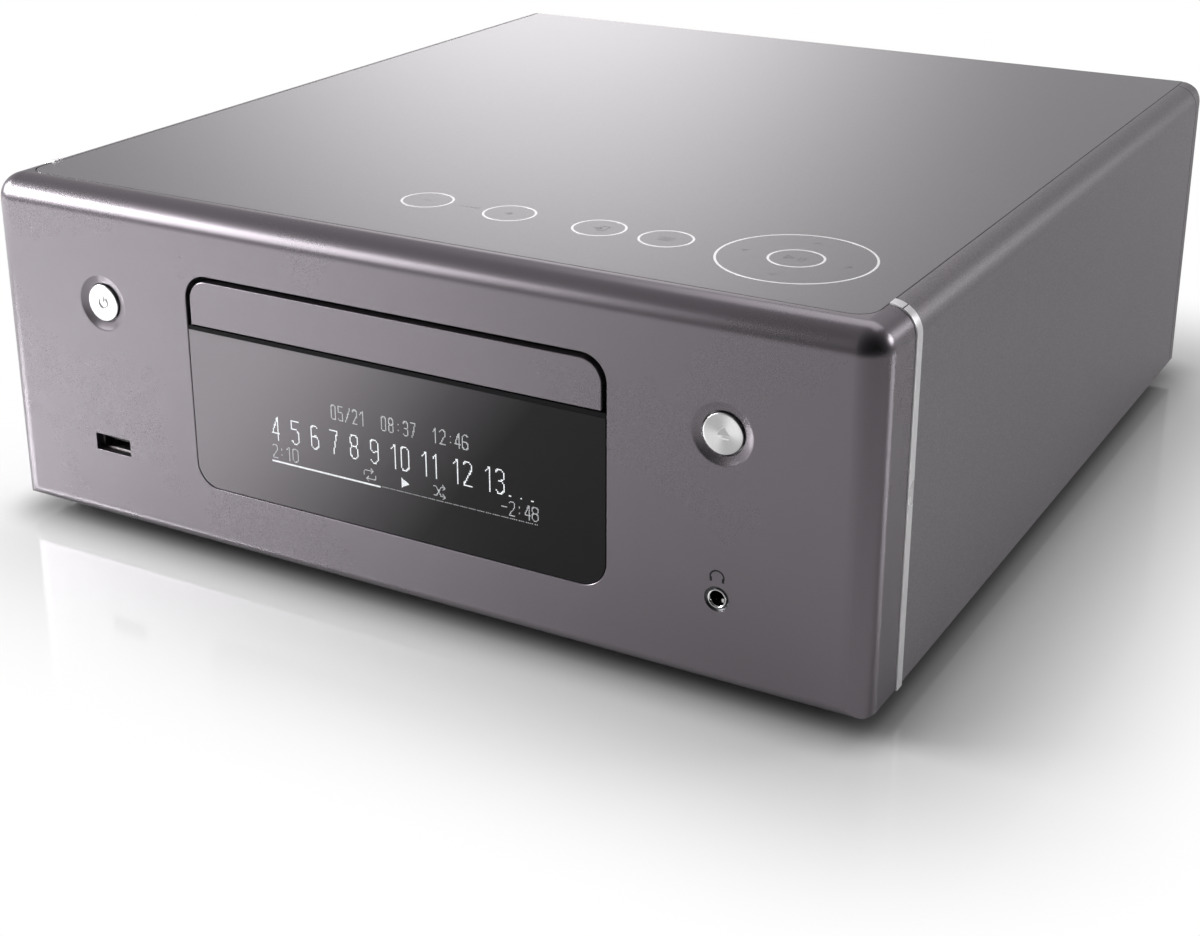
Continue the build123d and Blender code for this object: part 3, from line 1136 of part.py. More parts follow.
def make_power_board():
    """The power board with its filter capacitors, fuse clips and inlet connector."""
    x0, x1, y0, y1 = POWER_BOARD
    top = POWER_BOARD_Z + BOARD_THICKNESS
    board = block(x0, x1, y0, y1, POWER_BOARD_Z, top)
    for back in (80, 56):
        board += post((x0 + x1) / 2, y1 - back, FILTER_RADIUS, top, top + FILTER_HEIGHT)
    board += block(x0 + 8, x0 + 14, y1 - 36, y1 - 12, top, top + 6)
    board += block(x1 - 16, x1 - 6, y1 - 32, y1 - 24, top, top + 9)
    return board


def make_transformer():
    """The mains transformer: laminated core, bobbin winding and mounting feet."""
    top = POWER_BOARD_Z + BOARD_THICKNESS
    x0 = POWER_BOARD[0] + 3
    x1 = POWER_BOARD[1] - 3
    y0 = POWER_BOARD[2] + 14
    y1 = y0 + TRANSFORMER_LENGTH
    core_z = top + TRANSFORMER_BASE
    core_top = core_z + CORE_HEIGHT
    core = block(x0, x1, y0, y1, core_z, core_top)
    for z0, z1 in ((top, core_z), (core_top, core_top + WINDING_RISE)):
        winding = block(x0 + 5, x1 - 5, y0 + 8, y1 - 8, z0, z1)
        core += fillet(winding.edges().filter_by(Axis.Z), 4)
    return core


def make_front_ribbon():
    """The flat ribbon from the display board to the main board, laid along the pan."""
    start_y = DISPLAY_BOARD_Y + BOARD_THICKNESS
    thick = RIBBON_THICKNESS
    floor_z = PAN_TOP_Z + 1.0
    end_y = MAIN_BOARD[2] + 4
    middle = FilletPolyline(
        (start_y + thick / 2, DISPLAY_PANEL[2] + 6), (start_y + thick / 2, floor_z + 6),
        (start_y + 6, floor_z + thick / 2), (end_y - 8, floor_z + thick / 2),
        (end_y, floor_z + 8), (end_y, MAIN_BOARD_Z), radius=3.0,
    )
    strip = trace(middle, thick)
    return along_x(strip, -RIBBON_WIDTH / 2, RIBBON_WIDTH / 2)


# ---------------------------------------------------------------- rear connectors
def terminal_places():
    """List x and z of the four speaker terminals."""
    return [(x, z) for x in TERMINAL_X for z in TERMINAL_Z]


def network_bottom_z():
    """Height of the network socket's underside, on the main board."""
    return MAIN_BOARD_Z + BOARD_THICKNESS


def make_rear_panel():
    """The steel rear panel with its cut-outs, vent slots and screw holes."""
    half = PAN_HALF_WIDTH
    top = PLATE_BOTTOM_Z - CABINET_WALL - PAN_GAP
    outline = Pos(0, (PAN_BOTTOM_Z + PAN_GAP + top) / 2) * Rectangle(
        2 * half, top - PAN_BOTTOM_Z - PAN_GAP
    )
    outline = chamfer(outline.vertices().group_by(Axis.Y)[-1], EDGE_RADIUS - 2)
    panel = along_y(outline, PANEL_BACK_Y, PANEL_FACE_Y)
    y0 = PANEL_BACK_Y - 1
    y1 = PANEL_FACE_Y + 1
    for x, z in terminal_places():
        panel -= pin_y(x, z, 4.0, y0, y1)
    for x in LINE_JACK_X:
        for z in LINE_JACK_Z:
            panel -= pin_y(x, z, 4.5, y0, y1)
    width, _, height = NETWORK_SIZE
    z0 = network_bottom_z()
    gap = PAN_GAP
    panel -= block(NETWORK_X - width / 2 - gap, NETWORK_X + width / 2 + gap, y0, y1,
                   z0 - gap, z0 + height + gap)
    panel -= pin_y(ANTENNA_X, ANTENNA_Z, 5.0, y0, y1)
    width, _, height = INLET_SIZE
    panel -= block(INLET_X - width / 2 + 2 - gap, INLET_X + width / 2 - 2 + gap, y0, y1,
                   INLET_Z - height / 2 + 2 - gap, INLET_Z + height / 2 - 2 + gap)
    for x in SCREW_X:
        for z in SCREW_Z:
            panel -= pin_y(x, z, SCREW_RADIUS + 0.2, y0, y1)
    low, high = VENT_Z
    for index in range(14):
        x = (index - 8) * VENT_PITCH
        if index != 8:
            panel -= block(x, x + VENT_WIDTH, y0, y1, low, high)
    return panel


def make_terminal_plate():
    """The black moulding that the speaker terminals stand on, with a raised rim."""
    y0 = PANEL_FACE_Y
    margin = 9.5
    x0 = min(TERMINAL_X) - margin
    x1 = max(TERMINAL_X) + margin
    z0 = min(TERMINAL_Z) - margin
    z1 = max(TERMINAL_Z) + margin
    plate = block(x0, x1, y0, TERMINAL_PLATE_Y, z0, z1)
    plate = fillet(plate.edges().filter_by(Axis.Y), 2.5)
    for x, z in terminal_places():
        plate -= pin_y(x, z, TERMINAL_STUD_RADIUS + BEARING_GAP, y0 - 1, TERMINAL_PLATE_Y + 1)
    return plate


def make_terminal_posts():
    """The four fixed terminal posts: collar, stud with a plug bore, and tail through the panel."""
    posts = []
    for x, z in terminal_places():
        collar_y = TERMINAL_PLATE_Y + 2.2
        end_y = TERMINAL_END_Y - 1.9
        stud = pin_y(x, z, 4.8, TERMINAL_PLATE_Y, collar_y)
        stud += pin_y(x, z, TERMINAL_STUD_RADIUS, PANEL_BACK_Y - 5, end_y)
        stud -= pin_y(x, z, TERMINAL_BORE_RADIUS, collar_y - 1, end_y + 1)
        posts.append(stud)
    return Compound(children=posts)


def make_terminal_cap(x, z):
    """One screw cap of a speaker terminal: fluted outside, bored for the post and a plug."""
    y0 = TERMINAL_PLATE_Y + 2.2 + RUN_GAP
    cap = pin_y(0, 0, TERMINAL_CAP_RADIUS, y0, TERMINAL_END_Y)
    cap = chamfer(cap.faces().sort_by(Axis.Y)[-1].edges(), 0.6)
    for index in range(TERMINAL_FLUTES):
        angle = 2 * math.pi * index / TERMINAL_FLUTES
        reach = TERMINAL_CAP_RADIUS + 0.3
        cap -= pin_y(reach * math.cos(angle), reach * math.sin(angle), 0.9, y0 - 1, TERMINAL_END_Y - 1.5)
    cap -= pin_y(0, 0, TERMINAL_STUD_RADIUS + BEARING_GAP, y0 - 1, TERMINAL_END_Y - 1.6)
    cap -= pin_y(0, 0, TERMINAL_BORE_RADIUS + 0.25, y0 - 1, TERMINAL_END_Y + 1)
    return Pos(x, 0, z) * cap


def make_line_jacks():
    """Four round line sockets with square flanges."""
    jacks = []
    for x in LINE_JACK_X:
        for z in LINE_JACK_Z:
            y0 = PANEL_FACE_Y
            jack = block(x - 6, x + 6, y0, y0 + 1.5, z - 6, z + 6)
            jack += pin_y(x, z, 4.15, y0 - 8, y0 + 10)
            jack -= pin_y(x, z, 3.4, y0 + 2, y0 + 11)
            jack += pin_y(x, z, 2.6, y0 + 1.5, y0 + 9)
            jack -= pin_y(x, z, 1.6, y0 - 2, y0 + 11)
            jacks.append(jack)
    return Compound(children=jacks)


def make_network_socket():
    """The network socket: a shielded box on the main board with a latch-shaped mouth."""
    width, depth, height = NETWORK_SIZE
    mouth_w, mouth_h = NETWORK_OPENING
    y1 = PANEL_FACE_Y + 0.6
    z0 = network_bottom_z()
    socket = block(NETWORK_X - width / 2, NETWORK_X + width / 2, y1 - depth, y1, z0, z0 + height)
    mouth_z = z0 + 3.0
    half = mouth_w / 2
    socket -= block(NETWORK_X - half, NETWORK_X + half, y1 - 15, y1 + 1, mouth_z, mouth_z + mouth_h)
    socket -= block(NETWORK_X - 3, NETWORK_X + 3, y1 - 9, y1 + 1, mouth_z - 1.6, mouth_z + 0.1)
    return socket


def make_antenna_socket():
    """The threaded aerial socket with its hexagonal nut."""
    y0 = PANEL_FACE_Y
    socket = pin_y(0, 0, 4.7, y0 - 8, y0 + 11)
    for index in range(4):
        y = y0 + 3.2 + 1.8 * index
        ring = pin_y(0, 0, 5.5, y, y + 0.7) - pin_y(0, 0, 4.25, y - 1, y + 2)
        socket -= ring
    nut = along_y(RegularPolygon(6.8, 6), y0, y0 + 2)
    socket += nut
    socket -= pin_y(0, 0, 2.4, y0 + 4, y0 + 12)
    socket -= pin_y(0, 0, 0.6, y0 - 2, y0 + 12)
    return Pos(ANTENNA_X, 0, ANTENNA_Z) * socket


def make_ac_inlet():
    """The two-pin mains inlet: flange, body, figure-of-eight well and two pins."""
    width, depth, height = INLET_SIZE
    y1 = PANEL_FACE_Y + 2.0
    lobe = INLET_LOBE_RADIUS
    spacing = 8.6
    flange = block(-width / 2, width / 2, PANEL_FACE_Y, y1, -height / 2, height / 2)
    flange = fillet(flange.edges().filter_by(Axis.Y), 2.0)
    body = block(-width / 2 + 2, width / 2 - 2, y1 - depth, PANEL_FACE_Y, -height / 2 + 2, height / 2 - 2)
    well = SlotCenterToCenter(spacing, 2 * lobe)
    inlet = flange + body - along_y(well, y1 - 15, y1 + 1)
    for side in (-1, 1):
        inlet += pin_y(side * spacing / 2, 0, 1.2, y1 - 16, y1 - 4)
    return Pos(INLET_X, 0, INLET_Z) * inlet


def make_panel_screws():
    """Six pan-head screws that hold the rear panel."""
    screws = []
    for x in SCREW_X:
        for z in SCREW_Z:
            head = pin_y(x, z, 2.9, PANEL_FACE_Y, PANEL_FACE_Y + 1.7)
            head = chamfer(head.faces().sort_by(Axis.Y)[-1].edges(), 0.5)
            screws.append(head + pin_y(x, z, SCREW_RADIUS, PANEL_FACE_Y - 6, PANEL_FACE_Y))
    return Compound(children=screws)


# ---------------------------------------------------------------- whole system
def make_all():
    """Return every node of the system by name."""
    nodes = {
        "front_panel": make_front_panel(),
        "trim_band": make_trim_band(),
        "cabinet": make_cabinet(),
        "rear_bezel": make_rear_bezel(),
        "rear_panel": make_rear_panel(),
        "top_plate": make_top_plate(),
        "base_pan": make_base_pan(),
        "display_window": make_display_window(),
        "tray_surround": make_tray_surround(),
        "display_panel": make_display_panel(),
        "display_board": make_display_board(),
        "power_button": make_button(-BUTTON_X),
        "eject_button": make_button(BUTTON_X),
        "button_switches": make_button_switches(),
        "usb_socket": make_usb_socket(),
        "usb_tongue": make_usb_tongue(),
        "headphone_jack": make_headphone_jack(),
        "socket_boards": make_socket_boards(),
        "touch_board": make_touch_board(),
        "tray_door": make_tray_door(),
        "disc_tray": make_disc_tray(),
        "loader_chassis": make_loader_chassis(),
        "loader_brackets": make_loader_brackets(),
        "tray_gear": make_tray_gear(),
        "pulley_gear": make_pulley_gear(),
        "motor_pulley": make_motor_pulley(),
        "drive_belt": make_drive_belt(),
        "loading_motor": make_loading_motor(),
        "clamp_bridge": make_clamp_bridge(),
        "clamper": make_clamper(),
        "traverse_plate": make_traverse_plate(),
        "spindle_motor": make_spindle_motor(),
        "turntable": make_turntable(),
        "guide_rods": make_guide_rods(),
        "pickup_sled": make_pickup_sled(),
        "sled_gear": make_sled_gear(),
        "sled_motor": make_sled_motor(),
        "cam_slider": make_cam_slider(),
        "main_board": make_main_board(),
        "heatsink": make_heatsink(),
        "power_board": make_power_board(),
        "transformer": make_transformer(),
        "front_ribbon": make_front_ribbon(),
        "terminal_plate": make_terminal_plate(),
        "terminal_posts": make_terminal_posts(),
        "line_jacks": make_line_jacks(),
        "network_socket": make_network_socket(),
        "antenna_socket": make_antenna_socket(),
        "ac_inlet": make_ac_inlet(),
        "panel_screws": make_panel_screws(),
    }
    for depth, y in (("front", FOOT_FRONT_Y), ("rear", FOOT_REAR_Y)):
        for hand, side in (("left", -1), ("right", 1)):
            nodes[f"foot_{depth}_{hand}"] = make_foot(side * FOOT_X, y)
    for column, x in enumerate(TERMINAL_X):
        for row, z in enumerate(TERMINAL_Z):
            nodes[f"terminal_cap_{2 * column + row + 1}"] = make_terminal_cap(x, z)
    return nodes


def main():
    """Write one STEP file per node."""
    os.makedirs("parts", exist_ok=True)
    for name, shape in make_all().items():
        export_step(shape, f"parts/{name}.step")


main()
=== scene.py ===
"""Looks of the mini hifi system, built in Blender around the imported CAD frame.

Every sub-assembly is a class with its sizes as fields and methods that build and dress its pieces.
Lengths in the classes are millimetres, as in the CAD, and are turned to metres where a mesh is made.
"""

import logging
import math
from collections.abc import Callable, Iterable, Sequence
from dataclasses import dataclass
from enum import Enum

import bmesh
import bpy
from mathutils import Matrix, Vector


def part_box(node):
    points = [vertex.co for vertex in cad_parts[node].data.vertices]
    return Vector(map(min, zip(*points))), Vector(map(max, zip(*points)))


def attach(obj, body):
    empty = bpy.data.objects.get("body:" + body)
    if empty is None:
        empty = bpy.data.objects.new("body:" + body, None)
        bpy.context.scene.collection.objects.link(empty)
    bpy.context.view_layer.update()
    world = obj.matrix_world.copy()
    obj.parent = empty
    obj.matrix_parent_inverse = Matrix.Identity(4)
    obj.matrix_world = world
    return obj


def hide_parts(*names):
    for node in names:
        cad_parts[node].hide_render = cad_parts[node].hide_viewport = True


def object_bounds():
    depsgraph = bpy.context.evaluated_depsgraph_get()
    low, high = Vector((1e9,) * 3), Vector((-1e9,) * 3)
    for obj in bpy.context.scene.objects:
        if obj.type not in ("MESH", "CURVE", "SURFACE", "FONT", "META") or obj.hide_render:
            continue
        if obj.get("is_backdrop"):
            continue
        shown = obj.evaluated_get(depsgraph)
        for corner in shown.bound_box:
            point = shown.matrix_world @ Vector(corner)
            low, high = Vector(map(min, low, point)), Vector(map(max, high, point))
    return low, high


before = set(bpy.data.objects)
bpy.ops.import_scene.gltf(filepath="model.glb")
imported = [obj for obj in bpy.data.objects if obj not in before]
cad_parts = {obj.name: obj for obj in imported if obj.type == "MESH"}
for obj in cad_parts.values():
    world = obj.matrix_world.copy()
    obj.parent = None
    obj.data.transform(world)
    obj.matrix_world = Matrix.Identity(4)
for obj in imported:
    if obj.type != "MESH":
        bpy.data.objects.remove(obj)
log = logging.getLogger("hifi")

MM = 0.001
BUTTON_X, BUTTON_Z = 99.1, 74.5
JACK_X, JACK_Z = 98.8, 30.3
Colour = tuple[float, float, float]
Flat = tuple[float, float]
Loop = list[Flat]
Lines = list[Loop]
Path = list[tuple[float, float, float, float]]  # x, z and the outward direction's x and z
Sides = tuple[float, float, float, float, float, float]  # left, right, low, high, the lower and upper radius
Piece = bpy.types.Object
Vert = bmesh.types.BMVert


class Way(Enum):
    """A sweep's direction; its value says which of an outline's two numbers and its depth are x, y and z."""

    ALONG_X = (2, 0, 1)
    ALONG_Y = (0, 2, 1)
    ALONG_Z = (0, 1, 2)


def joins(operation: str, turned: bool = False) -> Callable[..., "Flow"]:
    """Return a method of Flow that adds one Math node.

    Args:
        operation: the Math node's operation.
        turned: whether the other number comes first.

    Returns:
        The method.
    """

    def method(self: "Flow", other: "Flow | float" = 0.0) -> "Flow":
        """Return the Math node's result."""
        first, second = (other, self) if turned else (self, other)
        return self.recipe.node("ShaderNodeMath", {"operation": operation}, {0: first, 1: second})

    return method


class Flow:
    """A number that changes over a surface: one shader socket, with arithmetic on it."""

    def __init__(self, recipe: "Recipe", socket: bpy.types.NodeSocket) -> None:
        """Keep the node tree's recipe and the socket that gives the number."""
        self.recipe, self.socket = recipe, socket

    __add__, __radd__ = joins("ADD"), joins("ADD", turned=True)
    __sub__, __rsub__ = joins("SUBTRACT"), joins("SUBTRACT", turned=True)
    __mul__, __rmul__ = joins("MULTIPLY"), joins("MULTIPLY", turned=True)
    __truediv__, __rtruediv__ = joins("DIVIDE"), joins("DIVIDE", turned=True)
    __pow__, __rpow__ = joins("POWER"), joins("POWER", turned=True)
    at_least = joins("MAXIMUM")
    size = joins("ABSOLUTE")
    sine = joins("SINE")
    arc_cosine = joins("ARCCOSINE")

    def span(self, low: float, high: float) -> "Flow":
        """Spread the part between a low and a high value smoothly over 0 to 1."""
        inputs = {"Value": self, "From Min": low, "From Max": high}
        return self.recipe.node("ShaderNodeMapRange", {"interpolation_type": "SMOOTHSTEP"}, inputs)


class Recipe:
    """The node tree of a finish or of the surroundings, while it is being written."""

    def __init__(self, owner: bpy.types.Material | bpy.types.World) -> None:
        """Start with an empty node tree.

        Args:
            owner: the material or world that the tree belongs to.
        """
        self.owner = owner
        owner.use_nodes = True
        self.tree = owner.node_tree
        self.tree.nodes.clear()

    def raw(self, kind: str, settings: dict[str, object], inputs: dict[object, object]) -> bpy.types.Node:
        """Add one node.

        Args:
            kind: the node's type.
            settings: its properties, set first; "stops" gives a ramp's positions and colours.
            inputs: values or flows for its sockets, by name or number.

        Returns:
            The new node.
        """
        node = self.tree.nodes.new(kind)
        for name, value in settings.items():
            if name == "stops":
                ramp = node.color_ramp
                while len(ramp.elements) < len(value):
                    ramp.elements.new(1.0)
                for element, (place, colour) in zip(ramp.elements, value):
                    element.position = place
                    element.color = (*colour, 1.0)
            else:
                setattr(node, name, value)
        for key, value in inputs.items():
            if isinstance(value, Flow):
                self.tree.links.new(value.socket, node.inputs[key])
            else:
                node.inputs[key].default_value = value
        return node

    def node(
        self,
        kind: str,
        settings: dict[str, object] | None = None,
        inputs: dict[object, object] | None = None,
        output: int | str = 0,
    ) -> Flow:
        """Add one node, as raw does, and return the wanted one of its outputs."""
        return Flow(self, self.raw(kind, settings or {}, inputs or {}).outputs[output])

    def place(self) -> Flow:
        """Return the point on the surface, in metres."""
        return self.node("ShaderNodeTexCoord", output="Object")

    def axis(self, letter: str) -> Flow:
        """Return one coordinate of the surface point, in metres."""
        return self.node("ShaderNodeSeparateXYZ", {}, {0: self.place()}, letter.upper())

    def noise(self, size: float, detail: float = 2.0, stretch: Colour = (1.0, 1.0, 1.0)) -> Flow:
        """Return fractal noise around 0.5, with grains of a size in metres that lie closer by the stretch."""
        scaled = self.node("ShaderNodeVectorMath", {"operation": "MULTIPLY"}, {0: self.place(), 1: stretch})
        return self.node("ShaderNodeTexNoise", {}, {"Vector": scaled, "Scale": 1.0 / size, "Detail": detail})

    def cells(self, size: float, output: str = "Distance") -> Flow:
        """Return a pattern of small cells of the given size in metres."""
        return self.node("ShaderNodeTexVoronoi", {}, {"Vector": self.place(), "Scale": 1.0 / size}, output)

    def mix(self, share: "Flow | float", first: "Flow | Colour", second: "Flow | Colour") -> Flow:
        """Return a blend of two colours; the share of the second goes from 0 to 1."""
        colours = [c if isinstance(c, Flow) else (*c, 1.0) for c in (first, second)]
        return self.node("ShaderNodeMix", {"data_type": "RGBA"}, {0: share, 6: colours[0], 7: colours[1]}, 2)

    def bump(self, height: Flow, depth: float) -> Flow:
        """Return a normal that shows a relief of up to the given depth in metres."""
        return self.node("ShaderNodeBump", {}, {"Strength": 1.0, "Distance": depth, "Height": height})

    def shade(self, inputs: dict[str, object]) -> bpy.types.Material:
        """Finish the material with one Principled shader.

        Args:
            inputs: values or flows for the shader's sockets.

        Returns:
            The finished material.
        """
        given = {k: (*v, 1.0) if isinstance(v, tuple) and len(v) == 3 else v for k, v in inputs.items()}
        surface = self.node("ShaderNodeBsdfPrincipled", {}, given)
        self.raw("ShaderNodeOutputMaterial", {}, {"Surface": surface})
        return self.owner


@dataclass(frozen=True)
class Finish:
    """A moulded or painted surface, slightly uneven in colour, gloss and relief."""

    name: str
    slot: str
    colour: Colour
    metallic: float = 0.0
    roughness: float = 0.5
    mottle: float = 0.06
    mottle_size: float = 0.03
    grain: float = 0.0004
    relief: float = 0.000004
    coat: float = 0.0
    specular: float = 0.5
    coat_roughness: float = 0.25

    def material(self) -> bpy.types.Material:
        """Return the finish's material, made once."""
        known = bpy.data.materials.get(self.name)
        return known or self.paint(Recipe(bpy.data.materials.new(self.name)))

    def tone(self, share: float) -> Colour:
        """Return the finish's colour, made lighter or darker by a share of itself."""
        return tuple(min(max(c * (1 + share), 0.0), 1.0) for c in self.colour)

    def cloud(self, recipe: Recipe) -> Flow:
        """Return the slow unevenness of the surface, from 0 to 1."""
        return recipe.noise(self.mottle_size, 4.0).span(0.3, 0.7)

    def mottled(self, recipe: Recipe, share: Flow) -> Flow:
        """Return the finish's colour, a little darker to a little lighter with the share."""
        return recipe.mix(share, self.tone(-self.mottle), self.tone(self.mottle))

    def shade(
        self, recipe: Recipe, colour: Flow, roughness: Flow | float, **others: Flow | float
    ) -> bpy.types.Material:
        """Finish the material with its even values and those that change over the surface.

        Args:
            recipe: the node tree.
            colour: the base colour.
            roughness: the roughness.
            others: more inputs of the shader, with _ for each space.

        Returns:
            The finished material.
        """
        even = {
            "Metallic": self.metallic,
            "Coat Weight": self.coat,
            "Coat Roughness": self.coat_roughness,
            "Specular IOR Level": self.specular,
        }
        given = {name.replace("_", " "): value for name, value in others.items()}
        return recipe.shade({"Base Color": colour, "Roughness": roughness} | even | given)

    def paint(self, recipe: Recipe) -> bpy.types.Material:
        """Write the node tree: a slow cloud in colour and gloss over a fine relief.

        Args:
            recipe: the node tree.

        Returns:
            The material.
        """
        cloud = self.cloud(recipe)
        relief = recipe.bump(recipe.noise(self.grain, 3.0), self.relief)
        rough = cloud * 0.06 + (self.roughness - 0.03)
        return self.shade(recipe, self.mottled(recipe, cloud), rough, Normal=relief)


@dataclass(frozen=True)
class MetallicPaint(Finish):
    """Satin paint with fine bright flakes in it."""

    flake: float = 0.00022
    sparkle: float = 0.10

    def paint(self, recipe: Recipe) -> bpy.types.Material:
        """Write the node tree: a slow cloud, flakes of slightly different brightness, a fine orange peel.

        Args:
            recipe: the node tree.

        Returns:
            The material.
        """
        cloud = self.cloud(recipe)
        flakes = recipe.node("ShaderNodeSeparateColor", {}, {0: recipe.cells(self.flake, "Color")})
        colour = recipe.mix(flakes * self.sparkle, self.mottled(recipe, cloud), (1.0, 1.0, 1.0))
        metallic = flakes * 0.04 + (self.metallic - 0.015)
        rough = cloud * 0.015 + flakes * 0.008 + (self.roughness - 0.011)
        peel = recipe.bump(recipe.noise(self.grain, 2.0), self.relief)
        return self.shade(recipe, colour, rough, Metallic=metallic, Normal=peel)


@dataclass(frozen=True)
class BrushedMetal(Finish):
    """Metal with fine straight brushing; stretch says how much closer the lines lie along each axis."""

    stretch: Colour = (0.02, 1.0, 1.0)

    def paint(self, recipe: Recipe) -> bpy.types.Material:
        """Write the node tree: long thin streaks in colour, gloss and relief.

        Args:
            recipe: the node tree.

        Returns:
            The material.
        """
        streaks = recipe.noise(self.grain, 3.0, self.stretch)
        rough = streaks * 0.12 + self.cloud(recipe) * 0.04 + (self.roughness - 0.08)
        relief = recipe.bump(streaks, self.relief)
        return self.shade(recipe, self.mottled(recipe, streaks), rough, Normal=relief)


@dataclass(frozen=True)
class TurnedMetal(Finish):
    """A turned face: fine rings round an axis along Y, with a two-sided highlight painted into its colour."""

    centre: Flat = (0.0, 0.0)
    pitch: float = 0.00016
    # How strongly the two-sided highlight is painted into the colour, as a share of it.
    painted_sheen: float = 0.35

    def paint(self, recipe: Recipe) -> bpy.types.Material:
        """Write the node tree: rings by distance from the axis, and a painted highlight by direction round
        it.

        Args:
            recipe: the node tree.

        Returns:
            The material.
        """
        across = recipe.axis("x").size() - self.centre[0] * MM
        up = recipe.axis("z") - self.centre[1] * MM
        square = across * across + up * up
        rings = (square**0.5 * (2 * math.pi / self.pitch)).sine() * 0.5 + 0.5
        turn = (across * across - up * up) / (square + 1e-9)
        slant = across * up * 2.0 / (square + 1e-9)
        # Painted highlight: the colour is lighter on two opposite sides round the axis and darker on the two
        # between.
        highlight_share = (turn * 0.35 + slant * 0.94).span(-1.0, 1.0)
        colour = recipe.mix(highlight_share, self.tone(-self.painted_sheen), self.tone(self.painted_sheen * 0.6))
        rough = rings * 0.12 + (self.roughness - 0.06)
        return self.shade(recipe, colour, rough, Normal=recipe.bump(rings, self.relief))


@dataclass(frozen=True)
class SmokedGlass(Finish):
    """A smoked window with a reflection painted into its base colour: lighter at the upper left, near black
    at the right.
    """

    dark_end_colour: Colour = (0.01, 0.01, 0.011)
    ends: Flat = (-67.0, 67.0)
    middle: float = 48.5
    painted_reflection_fades: tuple[Flat, ...] = ((0.0, 0.0), (0.30, 0.42), (0.55, 0.74), (0.80, 0.95))

    def paint(self, recipe: Recipe) -> bpy.types.Material:
        """Write the node tree: a painted reflection that grades from the colour to near black along a slant,
        on a glossy face.

        Args:
            recipe: the node tree.

        Returns:
            The material.
        """
        # Painted reflection: the base colour is lightest at the upper left and fades to near black towards
        # the right.
        slant = recipe.axis("x") + (recipe.axis("z") - self.middle * MM) * -0.8
        share = slant.span(self.ends[0] * MM, self.ends[1] * MM)
        stops = [(place, self.tone(-fade)) for place, fade in self.painted_reflection_fades]
        ramp = recipe.node("ShaderNodeValToRGB", {"stops": (*stops, (1.0, self.dark_end_colour))}, {0: share})
        return self.shade(recipe, ramp, self.cloud(recipe) * 0.02 + self.roughness)


@dataclass(frozen=True)
class CircuitBoard(Finish):
    """Green lacquered board with copper runs and pads under the lacquer."""

    def paint(self, recipe: Recipe) -> bpy.types.Material:
        """Write the node tree: runs where a cell pattern is nearly flat, pads at some of the cells.

        Args:
            recipe: the node tree.

        Returns:
            The material.
        """
        runs = (recipe.axis("x") * 900.0).sine() * (recipe.axis("y") * 760.0).sine()
        track = runs.span(0.25, 0.4)
        pads = 1.0 - recipe.cells(0.0045).span(0.10, 0.16)
        lacquer = recipe.mix(track * 0.6, self.colour, self.tone(0.9))
        colour = recipe.mix(pads, lacquer, (0.72, 0.66, 0.52))
        relief = recipe.bump(track + pads, 0.00003)
        return self.shade(recipe, colour, pads * -0.1 + self.roughness, Metallic=pads * 0.8, Normal=relief)


@dataclass(frozen=True)
class LitPrint(Finish):
    """The glowing dots of a display."""

    glow: float = 1.0

    def paint(self, recipe: Recipe) -> bpy.types.Material:
        """Write the node tree: a soft glow that is a little uneven from dot to dot."""
        glow = self.mottled(recipe, recipe.noise(self.grain, 1.0).span(0.2, 0.8))
        return self.shade(recipe, glow, self.roughness, Emission_Color=glow, Emission_Strength=self.glow)


FRONT_PAINT = MetallicPaint(
    "front_paint_grey", "front_paint", (0.210, 0.192, 0.211), 0.9, 0.28, mottle=0.015, mottle_size=0.06,
    grain=0.0006, relief=0.000001, sparkle=0.008,
)
SIDE_PAINT = MetallicPaint(
    "side_paint_grey", "cabinet_paint", (0.184, 0.168, 0.184), 0.30, 0.42, mottle=0.03, mottle_size=0.08,
    grain=0.0005, relief=0.000008, flake=0.0003,
)
REAR_PAINT = Finish(
    "rear_paint_black", "rear_paint", (0.030, 0.030, 0.032), 0.0, 0.55, mottle=0.10, grain=0.0006,
    relief=0.00003,
)
BRIGHT_TRIM = BrushedMetal(
    "bright_trim", "trim_metal", (0.98, 0.955, 0.98), 0.3, 0.3, mottle=0.04, mottle_size=0.05, grain=0.0003,
    relief=0.000002, stretch=(1.0, 0.03, 0.03),
)
GLOSS_PLATE = MetallicPaint(
    "gloss_plate_grey", "plate_gloss", (0.085, 0.078, 0.087), 0.0, 0.40, mottle=0.03, mottle_size=0.12,
    grain=0.0008, relief=0.000001, coat=1.0, specular=0.1, sparkle=0.02,
)
# The window carries a painted reflection: light grey at the upper left, near black at the right.
WINDOW = SmokedGlass("window_smoke_painted_reflection", "window_smoke", (0.262, 0.244, 0.262), 0.0, 0.14, specular=0.22)
SURROUND_BLACK = Finish(
    "surround_black_matt", "black_moulding", (0.005, 0.005, 0.006), 0.0, 0.6, mottle=0.1, mottle_size=0.01,
    specular=0.12,
)
BLACK_MOULDING = Finish(
    "black_moulding_fine", "black_moulding", (0.014, 0.014, 0.015), 0.0, 0.42, mottle=0.15, mottle_size=0.01,
    relief=0.00002,
)
